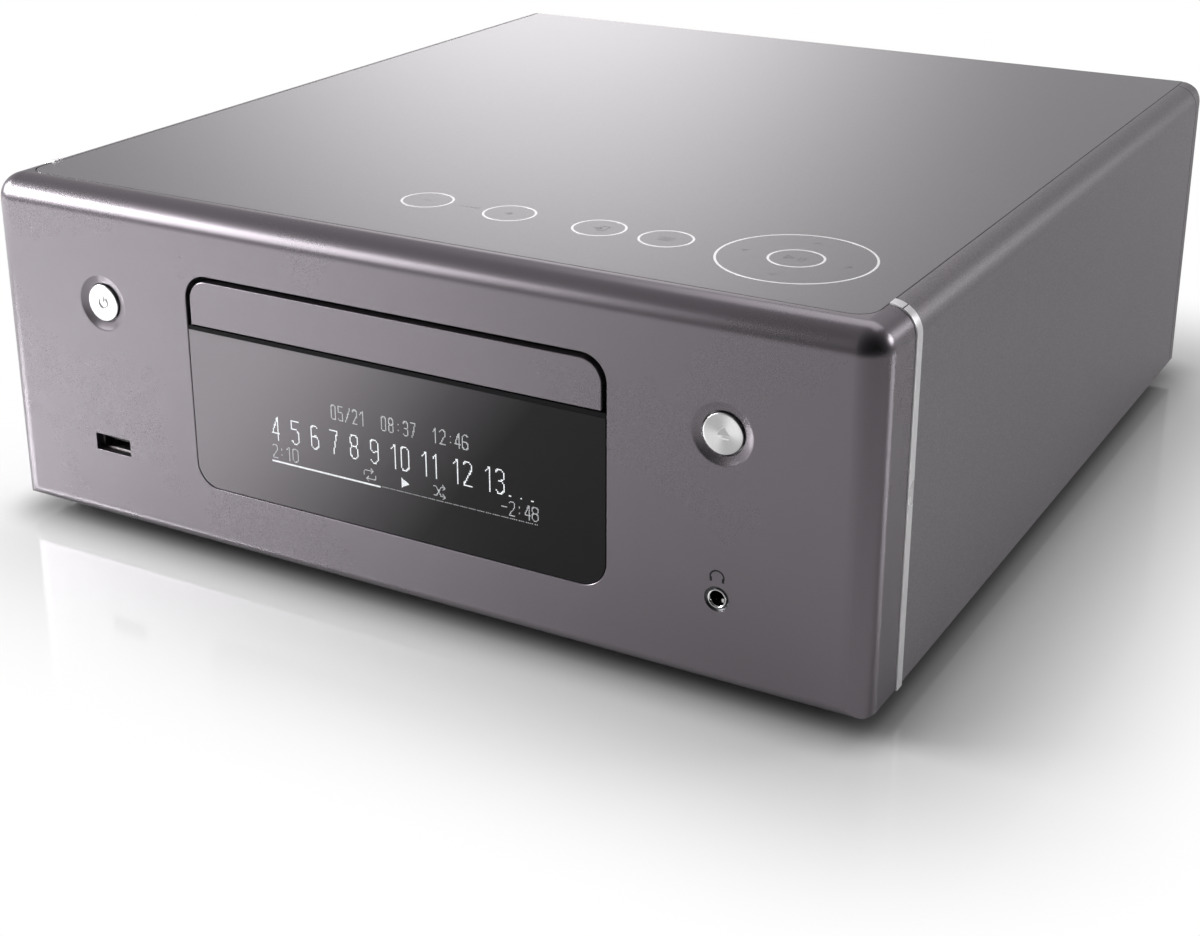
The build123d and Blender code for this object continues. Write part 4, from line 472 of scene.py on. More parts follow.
# The button faces carry a painted two-sided highlight in their colour.
BUTTON_FACE = TurnedMetal(
    "button_turned", "button_metal", (0.93, 0.93, 0.94), 1.0, 0.24, relief=0.0000022,
    centre=(BUTTON_X, BUTTON_Z),
)
SOCKET_STEEL = BrushedMetal("socket_steel_plain", "socket_steel", (0.52, 0.51, 0.50), 1.0, 0.34, grain=0.0003)
SEAT_METAL = BrushedMetal("seat_metal_dark", "socket_steel", (0.10, 0.10, 0.105), 0.9, 0.3, grain=0.0003)
SOCKET_CHROME = BrushedMetal(
    "socket_chrome_bright", "socket_chrome", (0.80, 0.80, 0.80), 1.0, 0.14, grain=0.0003
)
GOLD = BrushedMetal("gold_flash", "gold_contact", (0.86, 0.62, 0.25), 1.0, 0.24, grain=0.0003)
BOARD = CircuitBoard("board_green", "circuit_board", (0.015, 0.085, 0.035), 0.0, 0.36)
TRAY_BLACK = Finish(
    "tray_black", "tray_plastic", (0.020, 0.020, 0.022), 0.0, 0.46, mottle=0.12, mottle_size=0.02,
    grain=0.0005, relief=0.00003,
)
GEAR_WHITE = Finish(
    "gear_ivory", "gear_plastic", (0.68, 0.66, 0.60), 0.0, 0.36, mottle=0.04, mottle_size=0.01
)
BELT = Finish(
    "belt_black", "belt_rubber", (0.018, 0.018, 0.018), 0.0, 0.75, mottle=0.2, mottle_size=0.005,
    grain=0.0003, relief=0.00004,
)
FOOT_RUBBER = Finish(
    "foot_rubber_grey", "foot_rubber", (0.045, 0.045, 0.047), 0.0, 0.7, mottle=0.1, mottle_size=0.01,
    grain=0.0005, relief=0.00005,
)
PAN_STEEL = BrushedMetal("pan_zinc", "pan_steel", (0.42, 0.43, 0.44), 0.9, 0.42, mottle=0.10, grain=0.0008)
STEEL = BrushedMetal("steel_bright", "steel_part", (0.56, 0.56, 0.57), 1.0, 0.3)
HEATSINK = BrushedMetal("heatsink_aluminium", "heatsink_metal", (0.60, 0.60, 0.61), 0.95, 0.36, grain=0.0005)
CORE_STEEL = Finish(
    "transformer_dull", "transformer_steel", (0.16, 0.15, 0.14), 0.7, 0.5, mottle=0.2, mottle_size=0.01,
    grain=0.0006, relief=0.00003,
)
RIBBON = Finish("ribbon_pale", "ribbon_plastic", (0.62, 0.61, 0.57), 0.0, 0.5, mottle_size=0.01)
RED_CAP = Finish("cap_red", "red_cap", (0.42, 0.018, 0.016), 0.0, 0.34, mottle=0.08, mottle_size=0.01)
BLACK_CAP = Finish("cap_black", "black_cap", (0.016, 0.016, 0.017), 0.0, 0.34, mottle=0.1, mottle_size=0.01)
DISPLAY_DARK = Finish(
    "display_dark", "display_glass", (0.008, 0.010, 0.012), 0.0, 0.12, mottle=0.1, mottle_size=0.02
)
LIT = LitPrint(
    "display_lit", "display_glass", (0.80, 0.82, 0.84), mottle=0.10, grain=0.0011, roughness=0.4, glow=0.55
)
LIT_DIM = LitPrint(
    "display_lit_dim", "display_glass", (0.55, 0.56, 0.58), mottle=0.15, grain=0.0009, roughness=0.4,
    glow=0.25,
)
RING_PRINT = Finish(
    "ring_print_silver", "plate_gloss", (0.92, 0.92, 0.93), 0.6, 0.35, mottle=0.03, mottle_size=0.005
)
MARK_PRINT = Finish(
    "mark_print_grey", "plate_gloss", (0.10, 0.098, 0.104), 0.0, 0.4, mottle=0.05, mottle_size=0.005
)
SIGN_WHITE = Finish(
    "sign_print_white", "button_metal", (0.98, 0.98, 0.98), 0.0, 0.4, mottle=0.02, mottle_size=0.005
)
DARK_PRINT = Finish(
    "front_print_black", "front_paint", (0.012, 0.012, 0.014), 0.0, 0.5, mottle=0.1, mottle_size=0.005
)


def rounded(x0: float, x1: float, v0: float, v1: float, low: float, high: float, steps: int = 12) -> Loop:
    """Return a rectangle with rounded corners.

    Args:
        x0: the left side.
        x1: the right side.
        v0: the lower side.
        v1: the upper side.
        low: the radius of the two lower corners.
        high: the radius of the two upper corners.
        steps: the number of runs in one corner.

    Returns:
        Its points, counter-clockwise from the lower right corner.
    """
    corners = ((x1, v0, -90, low), (x1, v1, 0, high), (x0, v1, 90, high), (x0, v0, 180, low))
    points: Loop = []
    for x, v, start, radius in corners:
        radius = max(radius, 0.0)
        cx = x - radius if x == x1 else x + radius
        cv = v + radius if v == v0 else v - radius
        for step in range(steps + 1):
            angle = math.radians(start + 90 * step / steps)
            points.append((cx + radius * math.cos(angle), cv + radius * math.sin(angle)))
    return points


def panel(
    x0: float, x1: float, v0: float, v1: float, low: float, high: float, steps: int = 12
) -> Callable[[float], Loop]:
    """Return a rounded rectangle as a function of how far it is grown; the arguments are those of rounded."""

    def shape(offset: float) -> Loop:
        """Return the outline at an offset."""
        corners = max(low + offset, 0.02), max(high + offset, 0.02)
        return rounded(x0 - offset, x1 + offset, v0 - offset, v1 + offset, *corners, steps)

    return shape


def circle(x: float, v: float, radius: float, steps: int = 96) -> Loop:
    """Return a circle's points, counter-clockwise."""
    turns = (2 * math.pi * step / steps for step in range(steps))
    return [(x + radius * math.cos(turn), v + radius * math.sin(turn)) for turn in turns]


def quarter(radius: float, steps: int = 6) -> list[Flat]:
    """Return the offset (negative is inside the outline) and depth of each point of an edge rounding."""
    angles = (math.pi / 2 * step / steps for step in range(steps + 1))
    return [(-radius * (1 - math.sin(angle)), radius * (1 - math.cos(angle))) for angle in angles]


def from_face(profile: Iterable[Flat], face: float, way: int = 1) -> list[Flat]:
    """Return a profile whose depths are counted from a face, forwards or with -1 backwards."""
    return [(offset, face + way * depth) for offset, depth in profile]


class Blank:
    """A mesh while it is being made, in millimetres."""

    def __init__(self) -> None:
        """Start with nothing."""
        self.bm = bmesh.new()

    def ring(self, loop: Loop, depth: float, way: Way) -> list[Vert]:
        """Add the points of one outline that lies at a depth along the sweep."""
        return [self.bm.verts.new([(u, v, depth)[place] for place in way.value]) for u, v in loop]

    def band(self, first: list[Vert], second: list[Vert], closed: bool = True) -> None:
        """Join two rings of equally many points with a band of faces."""
        count = len(first)
        for i in range(count if closed else count - 1):
            j = (i + 1) % count
            self.bm.faces.new((first[i], first[j], second[j], second[i]))

    def skin(self, rings: Iterable[list[Vert]]) -> "Blank":
        """Join rings one after another and close both ends.

        Args:
            rings: the rings, from one end to the other.

        Returns:
            This blank.
        """
        rings = list(rings)
        for first, second in zip(rings, rings[1:]):
            self.band(first, second)
        self.bm.faces.new(rings[0])
        self.bm.faces.new(rings[-1])
        return self

    def sweep(self, shape: Callable[[float], Loop], profile: Sequence[Flat], way: Way) -> "Blank":
        """Add a solid from an outline; the profile gives its offset and depth at each ring, end to end."""
        return self.skin(self.ring(shape(offset), depth, way) for offset, depth in profile)

    def lathe(self, centre: Flat, profile: Sequence[Flat], way: Way, steps: int = 96) -> "Blank":
        """Add a turned solid; the profile gives the radius and depth of each ring, from end to end."""
        return self.sweep(lambda offset: circle(*centre, offset, steps), profile, way)

    def tube(self, centre: Flat, profile: Sequence[Flat], way: Way, steps: int = 96) -> "Blank":
        """Add a turned ring: the profile is a closed section.

        Args:
            centre: where its axis lies.
            profile: the radius and depth of each point of the section.
            way: the axis' direction.
            steps: the number of runs round it.

        Returns:
            This blank.
        """
        rings = [self.ring(circle(*centre, radius, steps), depth, way) for radius, depth in profile]
        for first, second in zip(rings, rings[1:] + rings[:1]):
            self.band(first, second)
        return self

    def along(self, path: Path, section: Sequence[Flat]) -> "Blank":
        """Add a section, of y and height above the path, that follows a path in the X-Z plane."""
        return self.skin(
            [self.bm.verts.new((x + out_x * rise, y, z + out_z * rise)) for y, rise in section]
            for x, z, out_x, out_z in path
        )

    def patch(self, corners: Sequence[tuple[float, float, float]]) -> None:
        """Add one face with its own corners."""
        self.bm.faces.new([self.bm.verts.new(corner) for corner in corners])

    def done(self, name: str) -> Piece:
        """Turn the blank into an object in metres.

        Args:
            name: the piece's name.

        Returns:
            The new object.
        """
        bmesh.ops.remove_doubles(self.bm, verts=self.bm.verts, dist=1e-5)
        loose = [face for face in self.bm.faces if face.calc_area() < 1e-9]
        bmesh.ops.delete(self.bm, geom=loose, context="FACES")
        bmesh.ops.recalc_face_normals(self.bm, faces=self.bm.faces)
        bmesh.ops.scale(self.bm, vec=(MM, MM, MM), verts=self.bm.verts)
        mesh = bpy.data.meshes.new(name)
        self.bm.to_mesh(mesh)
        self.bm.free()
        piece = bpy.data.objects.new(name, mesh)
        bpy.context.scene.collection.objects.link(piece)
        return piece


def baked(piece: Piece) -> None:
    """Replace a piece's mesh by what its modifiers make of it.

    Args:
        piece: the piece.
    """
    bpy.context.view_layer.update()
    solid = piece.evaluated_get(bpy.context.evaluated_depsgraph_get())
    mesh = bpy.data.meshes.new_from_object(solid)
    piece.modifiers.clear()
    piece.data = mesh


def cut(piece: Piece, *tools: Piece) -> Piece:
    """Cut shapes out of a piece.

    Args:
        piece: the piece that is cut.
        tools: the shapes that are taken out of it, and then thrown away.

    Returns:
        The piece.
    """
    for tool in tools:
        step = piece.modifiers.new("cut", "BOOLEAN")
        step.operation = "DIFFERENCE"
        step.solver = "EXACT"
        step.object = tool
    baked(piece)
    for tool in tools:
        bpy.data.objects.remove(tool)
    return piece


@dataclass(frozen=True)
class CasingForm:
    """The rounded form that the front, trim, cabinet and rear frame share."""

    half_width: float = 139.6
    front: float = -152.5
    rear: float = 145.5
    underside: float = 6.0
    top: float = 107.6
    radius: float = 7.5
    lower_radius: float = 0.5
    small_radius: float = 4.0

    def outline(self, offset: float) -> Loop:
        """Return the casing's outline from the front, grown by an offset.

        Args:
            offset: how far the sides and the top move out.

        Returns:
            The outline.
        """
        lower = 0.0
        depth = self.radius + offset
        if offset < 0:
            run = self.radius - math.sqrt(max(self.radius**2 - depth**2, 0.0))
            left = max(self.lower_radius - run, 0.0)
            lower = self.lower_radius - math.sqrt(max(self.lower_radius**2 - left**2, 0.0))
        half = self.half_width + offset
        heights = self.underside + lower, self.top + offset
        return rounded(-half, half, *heights, max(self.lower_radius - lower, 0.02), depth, 16)

    def shoulder(self, end_x: float) -> Path:
        """Return the right side's path from the lower edge up and over the shoulder.

        Args:
            end_x: where the path stops on the top.

        Returns:
            Points with their outward directions.
        """
        turn_x = self.half_width - self.radius
        turn_z = self.top - self.radius
        last = math.acos(min((end_x - turn_x) / self.radius, 1.0))
        path = [(self.half_width, self.underside, 1.0, 0.0)]
        for step in range(25):
            angle = last * step / 24
            out_x, out_z = math.cos(angle), math.sin(angle)
            path.append((turn_x + self.radius * out_x, turn_z + self.radius * out_z, out_x, out_z))
        return path

    def rounding(self, u: float, v: float, u_way: int, v_way: int) -> Loop:
        """Return the section of what the small rounding takes off one edge.

        Args:
            u: the edge's first coordinate.
            v: the edge's second coordinate.
            u_way: the outward direction along the first coordinate, -1 or 1.
            v_way: the outward direction along the second coordinate, -1 or 1.

        Returns:
            The section, from the arc round the outside of the edge.
        """
        radius = self.small_radius
        middle_u, middle_v = u - u_way * radius, v - v_way * radius
        section = []
        for step in range(13):
            angle = math.pi / 2 * step / 12
            across, up = u_way * radius * math.sin(angle), v_way * radius * math.cos(angle)
            section.append((middle_u + across, middle_v + up))
        section += [(u + u_way * 2, middle_v), (u + u_way * 2, v + v_way * 2), (middle_u, v + v_way * 2)]
        return section

    def out(self, point: Vector) -> Vector | None:
        """Return the exact outward direction of the rounded form.

        Args:
            point: a point in millimetres.

        Returns:
            The direction there, or none where the point isn't on the form.
        """
        side = self.half_width - self.radius
        x = min(max(point.x, -side), side)
        y = max(point.y, self.front + self.radius)
        z = min(point.z, self.top - self.radius)
        away = Vector((point.x - x, point.y - y, point.z - z))
        found = [(abs(away.length - self.radius), away)]
        small = self.small_radius
        low = min(point.z - self.underside - small, 0.0)
        ahead = min(point.y - self.front - small, 0.0)
        behind = max(point.y - self.rear + small, 0.0)
        across = max(abs(point.x) - self.half_width + small, 0.0) * (1 if point.x > 0 else -1)
        if low and (ahead or behind):
            away = Vector((0.0, ahead or behind, low))
            found.append((abs(away.length - small), away))
        if behind and across:
            away = Vector((across, behind, 0.0))
            found.append((abs(away.length - small), away))
        miss, away = min(found, key=lambda pair: pair[0])
        if miss > 0.5 or point.z < self.underside + 0.02:
            return None
        return away.normalized()


@dataclass(frozen=True)
class PlateForm:
    """The top plate's outline from above, rounded at the front, and the pocket that it drops into."""

    half: float = 132.3
    front: float = -143.7
    rear: float = CasingForm.rear
    bottom: float = 103.6
    corner: float = 6.0
    gap: float = 0.25
    past_rear: float = 14.5
    past_top: float = 16.4

    @property
    def pocket_half(self) -> float:
        """Return half the pocket's width."""
        return self.half + self.gap

    def outline(self, offset: float, past: float = 0.0, steps: int = 14) -> Loop:
        """Return the outline, grown by an offset at its sides and front and going past the rear."""
        half, front, corner = self.half + offset, offset - self.front, self.corner + offset
        return [(x, -y) for x, y in rounded(-half, half, -self.rear - past, front, 0.0, corner, steps)]

    def pocket(self) -> Piece:
        """Return the space that the plate drops into, open at the top and the rear."""
        room = Blank().sweep(
            lambda gap: self.outline(gap, self.past_rear, 12),
            ((self.gap, self.bottom), (self.gap, self.bottom + self.past_top)),
            Way.ALONG_Z,
        )
        return room.done("pocket")


class Shop:
    """Dresses pieces and carried-over nodes, and reports each of them."""

    form = CasingForm()
    plate = PlateForm()
    piece_angle = 32.0
    node_angle = 28.0
    form_match = 0.93

    @staticmethod
    def dress(mesh: bpy.types.Mesh, finish: Finish, angle: float) -> None:
        """Give a mesh its finish and shade it smoothly.

        Args:
            mesh: the mesh.
            finish: its finish.
            angle: edges that turn by more than this stay sharp, in degrees.
        """
        mesh.materials.clear()
        mesh.materials.append(finish.material())
        mesh.shade_smooth()
        mesh.set_sharp_from_angle(angle=math.radians(angle))

    @classmethod
    def place(
        cls,
        piece: Piece,
        body: str,
        finish: Finish,
        stands_for: str = "",
        on_form: bool = False,
    ) -> Piece:
        """Dress a piece and put it on its body.

        Args:
            piece: the piece.
            body: the CAD body that it moves with.
            finish: its finish.
            stands_for: the CAD node that it replaces, if any.
            on_form: whether its outer faces lie on the rounded casing form.

        Returns:
            The piece.
        """
        cls.dress(piece.data, finish, cls.piece_angle)
        step = piece.modifiers.new("even", "WEIGHTED_NORMAL")
        step.keep_sharp = True
        step.weight = 60
        baked(piece)
        if on_form:
            cls.follow_form(piece.data)
        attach(piece, body)
        if stands_for:
            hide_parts(stands_for)
        log.info("%s: %d faces on %s", piece.name, len(piece.data.polygons), body)
        return piece

    @classmethod
    def follow_form(cls, mesh: bpy.types.Mesh) -> None:
        """Give the outer faces the exact directions of the rounded casing form.

        Args:
            mesh: the mesh of a piece whose outer faces lie on it.
        """
        directions = [Vector(corner.vector) for corner in mesh.corner_normals]
        for face in mesh.polygons:
            for corner in face.loop_indices:
                point = mesh.vertices[mesh.loops[corner].vertex_index].co / MM
                out = cls.form.out(point)
                if out is not None and out.dot(face.normal) > cls.form_match:
                    directions[corner] = out
        mesh.normals_split_custom_set(directions)

    @classmethod
    def carry(cls, node: str, finish: Finish) -> None:
        """Give a carried-over CAD node its finish and smooth shading."""
        cls.dress(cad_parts[node].data, finish, cls.node_angle)
        log.info("%s: carried over with %s", node, finish.name)


@dataclass
class Casing:
    """The front panel, trim band, cabinet, rear frame and feet."""

    front_back: float = -132.6
    trim_back: float = -129.1
    cabinet_back: float = 137.5
    trim_proud: float = 0.4
    trim_depth: float = -1.0
    trim_edge: float = 0.12
    joint_line: float = 0.24
    joint_proud: float = 0.012
    joint_rise: float = 0.86
    seam: float = 0.22
    wall: float = 3.0
    cavity_corner: float = 4.5
    skin: float = 1.2
    lip: float = 10.0
    foot_curl: float = 1.2
    opening: Sides = (-67.3, 67.3, 24.7, 88.7, 7.5, 7.5)
    usb_mouth: Sides = (-106.05, -92.95, 27.8, 33.0, 0.5, 0.5)
    rear_opening: Sides = (-131.1, 131.1, 12.5, 99.6, 3.0, 3.0)
    jack_radius: float = 3.4
    hole_radius: float = 5.8
    ball_radius: float = 24.0
    dish_depth: float = 1.95
    dish_edge: float = 10.9
    dish_rim: float = 8.6
    dish_break: float = 0.15
    cutter_reach: float = 5.0
    opening_edge: float = 0.36
    usb_edge: float = 0.15
    jack_edge: float = 0.06
    rear_edge: float = 0.4

    def dish(self, side: int) -> Piece:
        """Return the cutter of one button's dished place and hole.

        Args:
            side: -1 for the left button and 1 for the right one.

        Returns:
            The cutter.
        """
        rim, hole, ball = self.dish_rim, self.hole_radius, self.ball_radius

        def depth_at(radius: float) -> float:
            """Return how deep the ball's surface lies at a radius."""
            return self.dish_depth - ball + math.sqrt(ball**2 - radius**2)

        slope = -rim / math.sqrt(ball**2 - rim**2)
        run = rim - self.dish_edge
        profile = [(self.dish_edge, -1.0)]
        for step in range(13):
            t = step / 12
            rise = t * t * (3 - 2 * t) * depth_at(rim) + (t**3 - t**2) * slope * run
            profile.append((self.dish_edge + t * run, max(rise, 0.004 * step)))
        for step in range(1, 6):
            radius = rim + (hole + self.dish_break - rim) * step / 5
            profile.append((radius, depth_at(radius)))
        profile += [(hole, depth_at(hole) + self.dish_break), (hole, self.cutter_reach)]
        cutter = Blank().lathe((side * BUTTON_X, BUTTON_Z), from_face(profile, Shop.form.front), Way.ALONG_Y)
        return cutter.done("dish")

    def hole(self, shape: Callable[[float], Loop], edge: float) -> Piece:
        """Return the cutter of a hole in the front, with a small rounding at its edge.

        Args:
            shape: gives the hole's outline at an offset.
            edge: the radius of the rounding.

        Returns:
            The cutter.
        """
        profile = [(edge * (1 - math.sin(a)), edge * (1 - math.cos(a))) for a in (0.1, 0.5, 0.9, 1.3, 1.57)]
        profile = [(edge * 0.9, -1.0), *profile, (0.0, self.cutter_reach)]
        return Blank().sweep(shape, from_face(profile, Shop.form.front), Way.ALONG_Y).done("hole")

    def make_front(self) -> None:
        """Build the front panel: one rounded moulding with its opening, dishes and socket holes."""
        form = Shop.form
        profile = from_face(quarter(form.radius, 20), form.front)
        profile.append((0.0, self.front_back - self.seam))
        front = Blank().sweep(form.outline, profile, Way.ALONG_Y).done("front_panel_skin")
        inner, corner = form.half_width - self.wall, self.cavity_corner
        heights = form.underside + self.wall, Shop.plate.bottom - self.wall
        cavity = panel(-inner, inner, *heights, corner, corner, 6)
        depths = ((0, form.front + self.wall), (0, self.front_back + 2))
        hollow = Blank().sweep(cavity, depths, Way.ALONG_Y).done("hollow")
        opening = self.hole(panel(*self.opening, 16), self.opening_edge)
        usb = self.hole(panel(*self.usb_mouth, 4), self.usb_edge)
        jack = self.hole(lambda offset: circle(JACK_X, JACK_Z, self.jack_radius + offset, 64), self.jack_edge)
        lower = self.rounding(form.front, form.underside, -1, Way.ALONG_X)
        cut(front, hollow, Shop.plate.pocket(), opening, self.dish(-1), self.dish(1), usb, jack, lower)
        Shop.place(front, "root", FRONT_PAINT, "front_panel", on_form=True)

    def rounding(self, u: float, v: float, u_way: int, way: Way) -> Piece:
        """Return the cutter of the small rounding along one edge.

        Args:
            u: the edge's first coordinate.
            v: the edge's second coordinate.
            u_way: the outward direction along the first coordinate, -1 or 1.
            way: the edge's direction; an edge along X is a lower one, an edge along Z a rear one.

        Returns:
            The cutter.
        """
        section = Shop.form.rounding(u, v, u_way, -1 if way is Way.ALONG_X else 1)
        depths = ((0, -200.0), (0, 200.0)) if way is Way.ALONG_X else ((0, -10.0), (0, 150.0))
        return Blank().sweep(lambda offset: section, depths, way).done("rounding")

    def sides(self, path: Path, section: Sequence[Flat], name: str) -> Piece:
        """Build a skin along the right side's path and along its mirror image."""
        mirrored = [(-x, z, -out_x, out_z) for x, z, out_x, out_z in path]
        return Blank().along(path, section).along(mirrored, section).done(name)

    def make_trim(self) -> None:
        """Build the bright band that stands a little proud behind the front panel."""
        y0, y1 = self.front_back, self.trim_back
        proud, depth, edge = self.trim_proud, self.trim_depth, self.trim_edge
        path = Shop.form.shoulder(Shop.plate.pocket_half)
        section = [(y0, depth), (y0, proud - 0.3), (y0 + 0.09, proud - 0.09), (y0 + 0.3, proud)]
        section += [(y1 - edge, proud), (y1, proud - edge), (y1, depth)]
        Shop.place(self.sides(path, section, "trim_band_bright"), "root", BRIGHT_TRIM, "trim_band")
        joint_way = 0.5, self.joint_rise
        x, z, out_x, out_z = min(path, key=lambda point: math.dist(point[2:], joint_way))
        half = self.joint_line / 2
        joint = [(x + out_z * step, z - out_x * step, out_x, out_z) for step in (-half, half)]
        top = proud + self.joint_proud
        line = ((y0, 0.2), (y0, top), (y1, top), (y1, 0.2))
        Shop.place(self.sides(joint, line, "trim_joint"), "root", SURROUND_BLACK)

    def make_cabinet(self) -> None:
        """Build the wrap-over cabinet: its lips, sides, shoulders and the wall of the plate's pocket."""
        form = Shop.form
        low = form.underside
        turn = form.lower_radius
        path = [(form.half_width - self.skin - self.lip, low, 0.0, -1.0)]
        for step in range(7):
            angle = math.radians(-90 + 15 * step)
            out_x, out_z = math.cos(angle), math.sin(angle)
            corner = (form.half_width - turn + turn * out_x, low + turn + turn * out_z)
            path.append((*corner, out_x, out_z))
        path += form.shoulder(Shop.plate.pocket_half)[1:]
        edge_x = Shop.plate.pocket_half - 0.02
        path.append((edge_x, form.top - 0.12, -0.7, 0.7))
        path.append((edge_x, Shop.plate.bottom + self.skin, -1.0, 0.0))
        y0, y1 = self.trim_back + self.seam, self.cabinet_back
        inside = -self.skin * 0.8
        section = ((y0, 0.0), (y1 - 0.1, 0.0), (y1, -0.1), (y1, inside), (y0, inside))
        Shop.place(self.sides(path, section, "cabinet_skin"), "root", SIDE_PAINT, "cabinet", on_form=True)

    def make_rear_frame(self) -> None:
        """Build the ring that closes the cabinet at the back."""
        form = Shop.form
        rear = form.rear
        profile = from_face(quarter(self.rear_edge, 4), rear, -1)
        profile += from_face(((0.0, 0.3), (-0.3, 0.2), (-0.3, 0.0)), self.cabinet_back)
        ring = Blank().sweep(form.outline, profile, Way.ALONG_Y).done("rear_frame_ring")
        profile = from_face(((0.3, -1.0), (0.3, 0.0), (0.09, 0.09), (0.0, 0.3), (0.0, 15.5)), rear, -1)
        opening = Blank().sweep(panel(*self.rear_opening, 6), profile, Way.ALONG_Y).done("hole")
        uprights = [self.rounding(side * form.half_width, rear, side, Way.ALONG_Z) for side in (-1, 1)]
        lower = self.rounding(rear, form.underside, 1, Way.ALONG_X)
        cut(ring, opening, *uprights, lower, Shop.plate.pocket())
        Shop.place(ring, "root", SIDE_PAINT, "rear_bezel", on_form=True)

    def make(self) -> None:
        """Build and dress the whole casing."""
        self.make_front()
        self.make_trim()
        self.make_cabinet()
        self.make_rear_frame()
        for place in ("front_left", "front_right", "rear_left", "rear_right"):
            self.make_foot(f"foot_{place}")

    def make_foot(self, node: str) -> None:
        """Build one soft foot with a rounded edge and a dished sole.

        Args:
            node: the CAD node whose place it takes.
        """
        low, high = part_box(node)
        x, y = (low.x + high.x) / 2 / MM, (low.y + high.y) / 2 / MM
        radius, top = (high.x - low.x) / 2 / MM, high.z / MM
        curl = self.foot_curl
        rim = radius - curl
        hollow = ((-3.0, 0.6), (-2.6, 0.15), (-2.3, 0.0))
        profile = [(0.01, 0.6), *((radius + inset, rise) for inset, rise in hollow), (rim, 0.0)]
        for step in range(1, 7):
            angle = math.pi / 2 * step / 6
            profile.append((rim + curl * math.sin(angle), curl - curl * math.cos(angle)))
        profile += [(radius, top - 0.3), (radius - 0.3, top)]
        sole = Blank().lathe((x, y), profile, Way.ALONG_Z).done(f"{node}_soft")
        Shop.place(sole, "root", FOOT_RUBBER, node)


@dataclass
class TopPlate:
    """The glossy plate in the top, with its printed touch rings and faint marks."""

    top: float = CasingForm.top
    edge: float = 0.25
    print_height: float = CasingForm.top + 0.015
    mark_line: float = 0.24
    ring_line: float = 0.65
    small_radius: float = 7.2
    small_places: tuple[float, ...] = (-12.3, 14.5, 42.5, 62.5)
    small_y: float = -112.2
    pad_place: Flat = (98.9, -111.0)
    pad_radius: float = 20.6
    small_marks: tuple[str, ...] = (
        "-1.1,0 1.1,0",
        "-1.1,0 1.1,0; 0,-1.1 0,1.1",
        "-2.2,0 .8,0; -.4,-1.1 .8,0 -.4,1.1; .2,-1.9 2.2,-1.9 2.2,1.9 .2,1.9",
        "-1.9,-1.2 1.9,-1.2; -1.9,0 1.9,0; -1.9,1.2 1.9,1.2",
    )
    play_mark: str = "-2.9,-1.3 -2.9,1.3 -.8,0 -2.9,-1.3; 1,-1.3 1,1.3; 2.2,-1.3 2.2,1.3"
    volume_start: float = -2.7
    volume_pitch: float = 1.35
    arrow_reach: float = 14.0
    arrow_half: float = 1.1

    def ring(self, name: str, place: Flat, radius: float) -> None:
        """Print one ring on the plate.

        Args:
            name: the piece's name.
            place: the ring's centre.
            radius: the radius of the middle of its line.
        """
        inner, outer = radius - self.ring_line / 2, radius + self.ring_line / 2
        low, high = self.top, self.print_height
        section = ((inner, low), (inner, high), (outer, high), (outer, low))
        Shop.place(Blank().tube(place, section, Way.ALONG_Z, 128).done(name), "root", RING_PRINT)

    def marks(self) -> Lines:
        """Draw the faint marks inside the rings, the arrows and the rising volume steps.

        Returns:
            Their lines.
        """
        lines = []
        for text, x in zip(self.small_marks, self.small_places):
            lines += placed(strokes(text), (x, self.small_y))
        tip = self.arrow_reach + 0.9
        arrow = self.arrow_half
        for dx, dy in ((1, 0), (-1, 0), (0, 1), (0, -1)):
            end = (self.pad_place[0] + dx * tip, self.pad_place[1] + dy * tip)
            for side in (-1, 1):
                start = (end[0] - dx * arrow + side * dy * arrow, end[1] - dy * arrow + side * dx * arrow)
                lines.append([start, end])
        lines += placed(strokes(self.play_mark), self.pad_place)
        for step in range(6):
            x, half = self.volume_start + self.volume_pitch * step, 0.12 + 0.1 * step
            lines.append([(x, self.small_y - half), (x, self.small_y + half)])
        return lines

    def make(self) -> None:
        """Build and dress the plate and its prints."""
        edge = from_face(quarter(self.edge, 4), self.top, -1)
        edge.append((0.0, Shop.plate.bottom))
        plate = Blank().sweep(Shop.plate.outline, edge, Way.ALONG_Z).done("top_plate_gloss")
        Shop.place(plate, "root", GLOSS_PLATE, "top_plate")
        for index, x in enumerate(self.small_places, 1):
            self.ring(f"touch_ring_{index}", (x, self.small_y), self.small_radius)
        self.ring("touch_pad_outer", self.pad_place, self.pad_radius)
        self.ring("touch_pad_inner", self.pad_place, self.small_radius)
        marks = Drawing(self.marks(), self.mark_line)
        faces = self.top, self.print_height
        Shop.place(marks.flat(Way.ALONG_Z, *faces, "touch_marks"), "root", MARK_PRINT)


